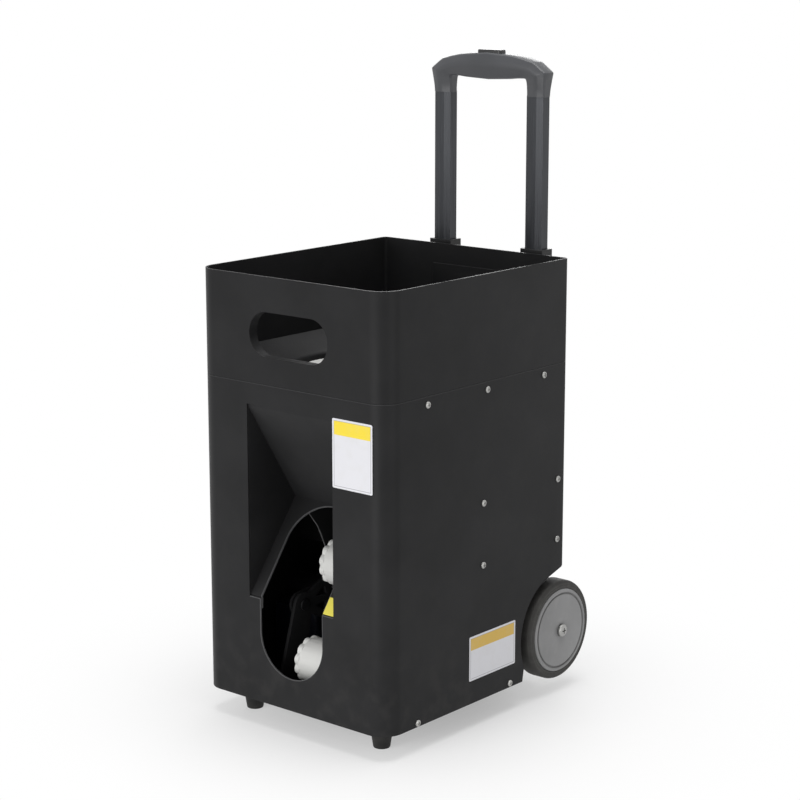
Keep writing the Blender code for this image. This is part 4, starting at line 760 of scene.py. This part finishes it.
# Feet
# Four tapered black rubber feet stand under the tray: the front pair near the corners, the rear
# pair set in between the transport wheels.
foot_rubber = surface("foot_rubber", (0.010, 0.010, 0.010), (0.015, 0.015, 0.014), 0.72, 0.0012,
                      0.00005, dust=0.08, gloss=0.3)
foot_low, foot_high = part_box("foot_front_right")
foot_mid = (foot_low + foot_high) / 2
foot_r, foot_top = (foot_high.x - foot_low.x) / 2, foot_high.z
SOLE_R, FOOT_EASE = 0.0095, 0.0006
profile = [(0, 0), (SOLE_R - 0.0015, 0), (SOLE_R - 0.0005, 0.0003), (SOLE_R, 0.0011),
           (foot_r - 0.0007, foot_top - 0.0035), (foot_r - 0.0001, foot_top - 0.0024),
           (foot_r, foot_top - FOOT_EASE), (foot_r - FOOT_EASE, foot_top), (0, foot_top)]
foot = turned("foot_front_r", "Z", (foot_mid.x, foot_mid.y, 0), profile, 48)
ease(foot, 0)
for name, node in (("foot_front_l", "foot_front_left"), ("foot_rear_r", "foot_rear_right"),
                   ("foot_rear_l", "foot_rear_left")):
    low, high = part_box(node)
    move = (low + high) / 2 - foot_mid
    settle(again(foot, name, (move.x, move.y, 0)), foot_rubber, "case", "foot", node)
settle(foot, foot_rubber, "case", "foot", "foot_front_right")


# Transport wheels
# A mid-grey moulded disc with a groove inside its rim carries a dark rubber tyre. It runs on a steel
# axle through two brackets on the tray, kept by a zinc-plated cross-head screw in the axle's end.
zinc = surface("zinc_plate", (0.33, 0.33, 0.32), (0.45, 0.445, 0.43), 0.40, 0.0011, 0.00002,
               metallic=1.0)
for node in ("axle", "axle_bracket_left", "axle_bracket_right"):
    worked(node, steel, "case", "steel")

HUB_R, HUB_GROOVE, HUB_BORE, HUB_CORE, HUB_BACK = 0.049, 0.0430, 0.0053, 0.012, 0.001
TYRE_R, TYRE_CORNER, TYRE_BACK, TYRE_FACE = 0.0586, 0.0045, 0.002, 0.0016
SEAT_STEP, RIM_W = 0.003, 0.004     # the hub's rim in front of the tyre's seat
outer = 0.014                       # half of the wheel's width
wheel_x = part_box("hub_right")[0].x + outer - HUB_BACK
wheel_mid = (wheel_x, wheel_y, WHEEL_Z)
hub_paint = Paint("hub_grey_moulding", 0.48)
hub_span = hub_paint.radius(wheel_mid, "X")
scuff = hub_paint.span(hub_paint.noise(0.012, 6.0), 0.50, 0.74)
hub_tone = hub_paint.mix(hub_paint.span(hub_paint.noise(0.06, 3.0), 0.35, 0.65),
                         (0.205, 0.205, 0.207), (0.235, 0.235, 0.237))
# Painted shade: a dark ring laid over the groove inside the hub's rim.
painted_groove_shade = hub_paint.span(abs(hub_span - HUB_GROOVE - 0.0010), 0.0005, 0.0022, 0.55, 0.0)
hub_tone = hub_paint.mix(painted_groove_shade, hub_tone, (0.055, 0.054, 0.052))
hub_paint.set("Base Color", hub_paint.mix(scuff * 0.25, hub_tone, (0.30, 0.295, 0.285)))
hub_paint.bump(hub_paint.noise(0.0014, 2.0), 0.00003)

seat_r, lip_r = HUB_R - SEAT_STEP, HUB_R + GAP
profile = [(HUB_BORE, -outer + HUB_BACK), (HUB_CORE, -outer + HUB_BACK), (HUB_CORE, -outer + 0.008),
           (seat_r, -outer + TYRE_BACK), (seat_r, outer - RIM_W), (HUB_R, outer - RIM_W),
           (HUB_R, outer - 0.0010), (HUB_R - 0.0005, outer - 0.0003), (HUB_R - 0.0014, outer),
           (HUB_GROOVE + 0.0024, outer), (HUB_GROOVE + 0.0018, outer - 0.0004),
           (HUB_GROOVE + 0.0014, outer - 0.0013), (HUB_GROOVE + 0.0004, outer - 0.0013),
           (HUB_GROOVE, outer - 0.0003), (HUB_GROOVE - 0.0008, outer + 0.0001),
           (0.020, outer + 0.0009), (0.0105, outer + 0.0011), (0.0098, outer + 0.0007),
           (HUB_BORE, outer + 0.0007)]
hub = turned("wheel_disc_right", "X", wheel_mid, profile, 96)
ease(hub, 0)
back_x, face_x, rim_x = -outer + TYRE_BACK, outer - TYRE_FACE, outer - RIM_W - GAP
corner_r, quarter = TYRE_R - TYRE_CORNER, arc(0, 0, TYRE_CORNER, 0, 90, 7)
profile = [(seat_r + GAP, back_x), (TYRE_R - 0.004, back_x)]
profile += [(corner_r + u, back_x + TYRE_CORNER - v) for u, v in reversed(quarter[:-1])]
profile += [(corner_r + u, face_x - TYRE_CORNER + v) for u, v in quarter]
profile += [(TYRE_R - 0.0052, outer - 0.0019), (TYRE_R - 0.0058, outer - 0.0019),
            (TYRE_R - 0.0064, outer - 0.0013), (lip_r + 0.0006, outer - 0.0012),
            (lip_r, outer - 0.0017), (lip_r, rim_x), (seat_r + GAP, rim_x)]
tyre = turned("wheel_tyre_right", "X", wheel_mid, profile, 128)
ease(tyre, 0)

rubber = Paint("tyre_rubber", 0.72)
tyre_span = rubber.radius(wheel_mid, "X")
# The tread's crown, paler from wear.
wear_and_highlight = rubber.span(tyre_span, TYRE_R - 0.0012, TYRE_R - 0.0002)
dusty = rubber.span(rubber.noise(0.010, 6.0), 0.40, 0.72)
rubber_tone = rubber.mix(rubber.span(rubber.noise(0.04, 4.0), 0.35, 0.65), (0.028, 0.027, 0.026),
                         (0.038, 0.037, 0.035))
side_wall = rubber.span(tyre_span, TYRE_R - 0.0050, TYRE_R - 0.0015, 0.28, 0.0)
pale_share = dusty * 0.16 + wear_and_highlight * 0.1 + side_wall
rubber.set("Base Color", rubber.mix(pale_share, rubber_tone, (0.100, 0.098, 0.092)))
rubber.set("Specular IOR Level", 0.25)
rubber.bump(rubber.noise(0.0010, 3.0), 0.00006)

cap_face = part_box("axle_cap_right")[1].x
CAP_R, CAP_OUT, CAP_REACH, CAP_SLOT = 0.0075, 0.004, 0.0034, 0.0007


def cross_head(name, centre, radius, height, reach, width):
    """Pan-head screw along X with a cross recess, its top at the centre point."""
    dome, depth = height * 0.62, height * 0.55
    crown = [(radius * share, -dome + dome * math.sqrt(1 - share * share))
             for share in (0.99, 0.95, 0.87, 0.74, 0.55, 0.30)]
    outline = [(0, -height), (radius, -height), (radius, -dome)] + crown + [(0, 0)]
    piece = turned(name, "X", centre, outline, 32)
    x, y, z = centre
    carve(piece, slab("cutter", (x - depth, y - reach, z - width), (x + PAST, y + reach, z + width)),
          slab("cutter", (x - depth, y - width, z - reach), (x + PAST, y + width, z + reach)))
    ease(piece, 0.00008, 1)
    return piece


axle_screw = cross_head("axle_screw_right", (cap_face, wheel_y, WHEEL_Z), CAP_R, CAP_OUT, CAP_REACH,
                        CAP_SLOT)
wheel_pieces = ((hub, hub_paint.block, "left_wheel", "right_wheel", "hub", "hub"),
                (tyre, rubber.block, "left_wheel", "right_wheel", "tyre", "tyre"),
                (axle_screw, zinc, "case", "case", "zinc", "axle_cap"))
for piece, finish, left_body, right_body, slot, node in wheel_pieces:
    left = again(piece, piece.name.replace("right", "left"), mirror=True)
    settle(left, finish, left_body, slot, node + "_left")
    settle(piece, finish, right_body, slot, node + "_right")


# Case screws
# Zinc-plated cross-head screws hold the hopper's skirt, the cross frame, the rear panel and the tray
# through both sides of the case.
SCREW_R, SCREW_H, SCREW_REACH, SCREW_SLOT, SUNK = 0.0038, 0.0021, 0.0022, 0.0005, 0.0001
SIDE_SCREWS = ((-0.1144, 0.3842), (-0.0118, 0.3842), (0.0916, 0.3842), (0.1211, 0.2574),
               (0.1211, 0.1859), (-0.0170, 0.2570), (-0.0170, 0.1859), (0.0341, 0.0340),
               (-0.1299, 0.0335))
first_y, first_z = SIDE_SCREWS[0]
screw_top = (half_w + SCREW_H - SUNK, first_y, first_z)
first = cross_head("case_screws_right", screw_top, SCREW_R, SCREW_H, SCREW_REACH, SCREW_SLOT)
others = [again(first, "case_screw", (0, y - first_y, z - first_z)) for y, z in SIDE_SCREWS[1:]]
hold(first)
for screw in others:
    screw.select_set(True)
bpy.ops.object.join()
settle(again(first, "case_screws_left", mirror=True), zinc, "case", "zinc")
settle(first, zinc, "case", "zinc")


# Handle sleeves and brackets
# Two coated sleeves stand behind the case in clamp blocks on an upper and a lower bracket, with a
# moulded collar on each mouth that guides the tube.
for side in ("left", "right"):
    worked("handle_sleeve_" + side, powder, "case", "case_black", 0.0005)
    worked("sleeve_collar_" + side, moulded, "case", "plastic_black", 0.0006)
for level in ("upper", "lower"):
    worked("handle_bracket_" + level, moulded, "case", "plastic_black", 0.0008)


# Trolley handle
# Two flattened tubes, dark satin anodised, slide in the sleeves. The moulded grip arches between
# them with a release button in its top.
anodised = Paint("dark_anodised_tube", 0.34, 0.35)
anodised.set("Specular IOR Level", 0.3)
streak = anodised.noise(0.0012, 2.0, (1, 1, 0.02))
tube_tone = anodised.mix(anodised.span(anodised.noise(0.05, 4.0, (1, 1, 0.3)), 0.3, 0.7),
                         (0.036, 0.038, 0.043), (0.048, 0.051, 0.057))
streak_share = anodised.span(streak, 0.55, 0.8) * 0.25
anodised.set("Base Color", anodised.mix(streak_share, tube_tone, (0.13, 0.135, 0.145)))
anodised.set("Roughness", anodised.span(streak, 0.3, 0.7, 0.27, 0.38))
anodised.bump(streak, 0.00001)
for side in ("left", "right"):
    worked("handle_tube_" + side, anodised.block, "handle", "tube", 0.0004, 6)

grip_plastic = surface("grained_grip", (0.046, 0.048, 0.053), (0.058, 0.060, 0.066), 0.34, 0.0010,
                       0.00005, gloss=0.45)
TUBE_W, TUBE_T, GRIP_H, GRIP_RISE, SOCKET_WALL = 0.0235, 0.015, 0.047, 0.0015, 0.0010
grip_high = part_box("handle_grip")[1].z
tube_low, tube_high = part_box("handle_tube_right")
tube_x, tube_y = (tube_low.x + tube_high.x) / 2, (tube_low.y + tube_high.y) / 2
half_tube = TUBE_W / 2 + SOCKET_WALL
grip_top = grip_high + GRIP_RISE
grip_z = grip_high - GRIP_H
middle_h = GRIP_H + GRIP_RISE
# From the right tube to the middle: outer line across and up, inner line the same, thickness.
right_grip = [(tube_x + half_tube, 0, tube_x - half_tube, 0, TUBE_T + 2 * SOCKET_WALL),
              (tube_x + half_tube + 0.0006, 0.0080, tube_x - half_tube, 0.0080, TUBE_T + 0.0028),
              (tube_x + 0.0146, 0.0195, tube_x - 0.0128, 0.0160, 0.0215),
              (tube_x + 0.0156, 0.0266, tube_x - 0.0136, 0.0192, 0.0236),
              (tube_x + 0.0146, 0.0286, tube_x - 0.0146, 0.0200, 0.0240),
              (tube_x + 0.0090, 0.0328, tube_x - 0.0172, 0.0202, 0.0243),
              (tube_x + 0.0012, 0.0382, tube_x - 0.0222, 0.0200, 0.0246),
              (tube_x - 0.0040, 0.0403, tube_x - 0.0270, 0.0197, 0.0248),
              (tube_x * 0.58, middle_h - 0.0030, tube_x * 0.45, 0.0188, 0.0256),
              (0, middle_h, 0, 0.0174, 0.0265)]


def smooth_run(rows, steps):
    """Rows with even steps between them on a smooth curve that passes through each."""
    run = []
    for a, b, c, d in zip(rows[:1] + rows, rows, rows[1:], rows[2:] + rows[-1:]):
        for t in (i / steps for i in range(steps)):
            shares = (((2 - t) * t - 1) * t, (3 * t - 5) * t * t + 2,
                      ((4 - 3 * t) * t + 1) * t, (t - 1) * t * t)
            run.append([sum(share * row[k] for share, row in zip(shares, (a, b, c, d))) / 2
                        for k in range(len(a))])
    return run + [list(rows[-1])]


outlines = smooth_run(right_grip, 4)
outlines += [(-x0, z0, -x1, z1, deep) for x0, z0, x1, z1, deep in reversed(outlines[:-1])]
stations = []
for outer_x, outer_z, inner_x, inner_z, deep in outlines:
    out, rise = outer_x - inner_x, outer_z - inner_z
    place = ((outer_x + inner_x) / 2, tube_y, grip_z + (outer_z + inner_z) / 2)
    stations.append((place, math.atan2(rise, out), math.hypot(out, rise), deep))
place, _, across, deep = stations[0]
near_side = [(1.0, 0.55), (0.97, 0.68), (0.88, 0.78), (0.40, 0.98), (0.30, 1.0), (0.0, 1.0),
             (-0.12, 0.97), (-0.86, 0.72), (-0.96, 0.60), (-1.0, 0.46)]
far_side = [(u, -v) for u, v in reversed(near_side)]
ring = [Vector(place) + Vector((u * across / 2, v * deep / 2, 0)) for u, v in near_side + far_side]
grip = trace("handle_grip_moulding", ring)
bpy.ops.mesh.edge_face_add()
for (place0, lean0, across0, deep0), (place1, lean1, across1, deep1) in zip(stations, stations[1:]):
    bpy.ops.mesh.extrude_region_move()
    bpy.ops.transform.rotate(value=-lean0, orient_axis="Y", center_override=place0)
    bpy.ops.transform.resize(value=(across1 / across0, deep1 / deep0, 1), center_override=place0)
    bpy.ops.transform.rotate(value=lean1, orient_axis="Y", center_override=place0)
    bpy.ops.transform.translate(value=Vector(place1) - Vector(place0))
close_up(grip)
BUTTON_HALF_X, BUTTON_HALF_Y, BUTTON_R = 0.0170, 0.0062, 0.0030
BUTTON_GAP, BUTTON_WELL = 0.0004, 0.0105
pocket_x, pocket_y = BUTTON_HALF_X + BUTTON_GAP, BUTTON_HALF_Y + BUTTON_GAP
pocket = slab("cutter", (-pocket_x, tube_y - pocket_y, grip_top - BUTTON_WELL),
              (pocket_x, tube_y + pocket_y, grip_top + PAST))
pick(pocket, "EDGE", lambda place, way: abs(way.z) > 0.9)
bpy.ops.mesh.bevel(offset=BUTTON_R + BUTTON_GAP, segments=6)
carve(grip, pocket)
ease(grip, 0.0003, angle=16)
settle(grip, grip_plastic, "handle", "grip", "handle_grip")

button_low, button_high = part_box("grip_button")
button = slab("release_button", (-BUTTON_HALF_X, tube_y - BUTTON_HALF_Y, button_low.z),
              (BUTTON_HALF_X, tube_y + BUTTON_HALF_Y, button_high.z))
pick(button, "EDGE", lambda place, way: abs(way.z) > 0.9)
bpy.ops.mesh.bevel(offset=BUTTON_R, segments=6)
pick(button, "FACE", lambda place, way: way.z > 0.9)
bpy.ops.mesh.bevel(offset=0.0016, segments=4)
ease(button, 0)
settle(button, switch_black, "button", "switch", "grip_button")


# Label plates
# Thin white cards, bare but for a coloured band and a thin grey frame, stuck on the front beside the
# opening and low on the right side, and a small bare yellow card low in the launch recess.
CARD_T, CARD_R, FRAME_IN, HAIR = 0.00025, 0.0016, 0.0024, 0.0002


def card(name, low, high, across, band_colour, band_h):
    """Card with rounded corners whose colours are laid out across and up it."""
    piece = slab(name, low, high)
    thin = 1 - across
    pick(piece, "EDGE", lambda place, way: abs(way[thin]) > 0.9)
    bpy.ops.mesh.bevel(offset=CARD_R, segments=5)
    ease(piece, 0)
    paint = Paint(name + "_print", 0.38)
    axes = paint.axes()
    off = [abs(axes[i] - (low[i] + high[i]) / 2) - (high[i] - low[i]) / 2 for i in (across, 2)]
    edge = paint.node("Math", {0: off[0], 1: off[1]}, operation="MAXIMUM")
    inside = paint.span(edge, -FRAME_IN - HAIR, -FRAME_IN + HAIR, 1.0, 0.0)
    line = paint.span(abs(edge + FRAME_IN), HAIR, 2 * HAIR, 1.0, 0.0)
    over = paint.span(axes[2], high[2] - band_h - HAIR, high[2] - band_h + HAIR)
    soil = paint.span(paint.noise(0.012, 5.0), 0.45, 0.75) * 0.12
    tone = paint.mix(inside * over, (0.66, 0.66, 0.69), band_colour)
    tone = paint.mix(line * 0.65, tone, (0.16, 0.16, 0.18))
    paint.set("Base Color", paint.mix(soil, tone, (0.50, 0.48, 0.43)))
    paint.bump(paint.noise(0.0020, 2.0), 0.00002)
    settle(piece, paint.block, "case", "wheel_white")


FRONT_CARD = (OPEN_HALF + 0.0006, 0.119), (0.296, 0.3715)       # across and up
SIDE_CARD = (-0.0408, 0.0430), (0.056, 0.1075)
(x0, x1), (z0, z1) = FRONT_CARD
card("front_card", (x0, front_y - CARD_T, z0), (x1, front_y, z1), 0, (0.80, 0.62, 0.03), 0.0175)
(y0, y1), (z0, z1) = SIDE_CARD
card("side_card", (half_w, y0, z0), (half_w + CARD_T, y1, z1), 1, (0.62, 0.40, 0.06), 0.0160)

yellow = surface("yellow_card", (0.66, 0.58, 0.07), (0.70, 0.62, 0.09), 0.40, 0.0020, 0.00002)
SLOPE_CARD = (SLOT_R + 0.0008, OPEN_HALF - 0.0010), (0.0015, 0.0215)
(x0, x1), (low, high) = SLOPE_CARD
corners = [(x0, low), (x1, low), (x1, high), (x0, high)]
corner_card = extruded("slope_card", [slope_foot + Vector((u, 0, 0)) + slope * v for u, v in corners],
                       behind * -CARD_T)
ease(corner_card, 0)
settle(corner_card, yellow, "case", "wheel_white")


# Studio
# A pale floor that fades to white, broad soft lamps, an even sky that looks white to the camera but
# lights little, and the camera of the reference view.
hold(None)
bpy.ops.mesh.primitive_plane_add(size=12, location=(0, 0, -0.0001))
floor = bpy.context.object
floor.name = "studio_floor"
seat(floor)
ground = Paint("studio_floor_white", 0.9)
far = ground.span(ground.radius((0, 0, 0), "Z"), 0.05, 0.50, 0.35, 1.0)
ground.set("Base Color", (0.90, 0.90, 0.90))
glow = ground.node("Emission", {"Color": (1.0, 1.0, 1.0), "Strength": 1.0})
near = Signal(ground, ground.shader.outputs[0])
blend = ground.node("MixShader", {0: far, 1: near, 2: glow})
ground.feed(ground.tree.nodes["Material Output"].inputs["Surface"], blend)
floor.data.materials.append(ground.block)


def lamp(name, place, target, size, power):
    """Square soft lamp at a place, turned to a target."""
    hold(None)
    bpy.ops.object.light_add(type="AREA", location=place)
    made = bpy.context.object
    made.name = name
    made.rotation_euler = (Vector(target) - Vector(place)).to_track_quat("-Z", "Y").to_euler()
    made.data.size = size
    made.data.energy = power


lamp("key", (-0.5, -2.6, 0.9), (0, 0, 0.30), 1.1, 20)
lamp("low_front", (0.15, -0.90, 0.12), (0, -0.18, 0.05), 0.4, 2.4)
lamp("right_fill", (2.0, -0.3, 0.20), (0, 0, 0.10), 0.8, 6)
lamp("top", (0.1, 0.1, 2.6), (0, 0, 0.30), 1.6, 46)
lamp("rear_fill", (-1.3, 2.3, 0.9), (0, 0, 0.35), 1.3, 20)

studio = bpy.data.worlds.new("studio")
bpy.context.scene.world = studio
sky = Paint("studio", block=studio)
eye, shine, through = (sky.node("LightPath", output="Is " + ray + " Ray")
                       for ray in ("Camera", "Glossy", "Transmission"))
seen = sky.node("Math", {0: eye + shine, 1: through}, operation="ADD", use_clamp=True)
soft = sky.node("Background", {"Color": (1.0, 1.0, 1.0), "Strength": 0.24})
white = sky.node("Background", {"Color": (1.0, 1.0, 1.0), "Strength": 1.0})
backdrop = sky.node("MixShader", {0: seen, 1: soft, 2: white})
sky.feed(sky.tree.nodes["World Output"].inputs["Surface"], backdrop)

camera_place = Vector((1.5286, -1.8071, 0.8676))
camera_target = Vector((0.0216, -0.0233, 0.3581))
hold(None)
bpy.ops.object.camera_add(location=camera_place)
camera = bpy.context.object
camera.rotation_euler = (camera_target - camera_place).to_track_quat("-Z", "Y").to_euler()
camera.data.lens = 95.76
camera.data.sensor_width = 36
bpy.context.scene.camera = camera
bpy.context.scene.view_settings.view_transform = "Standard"
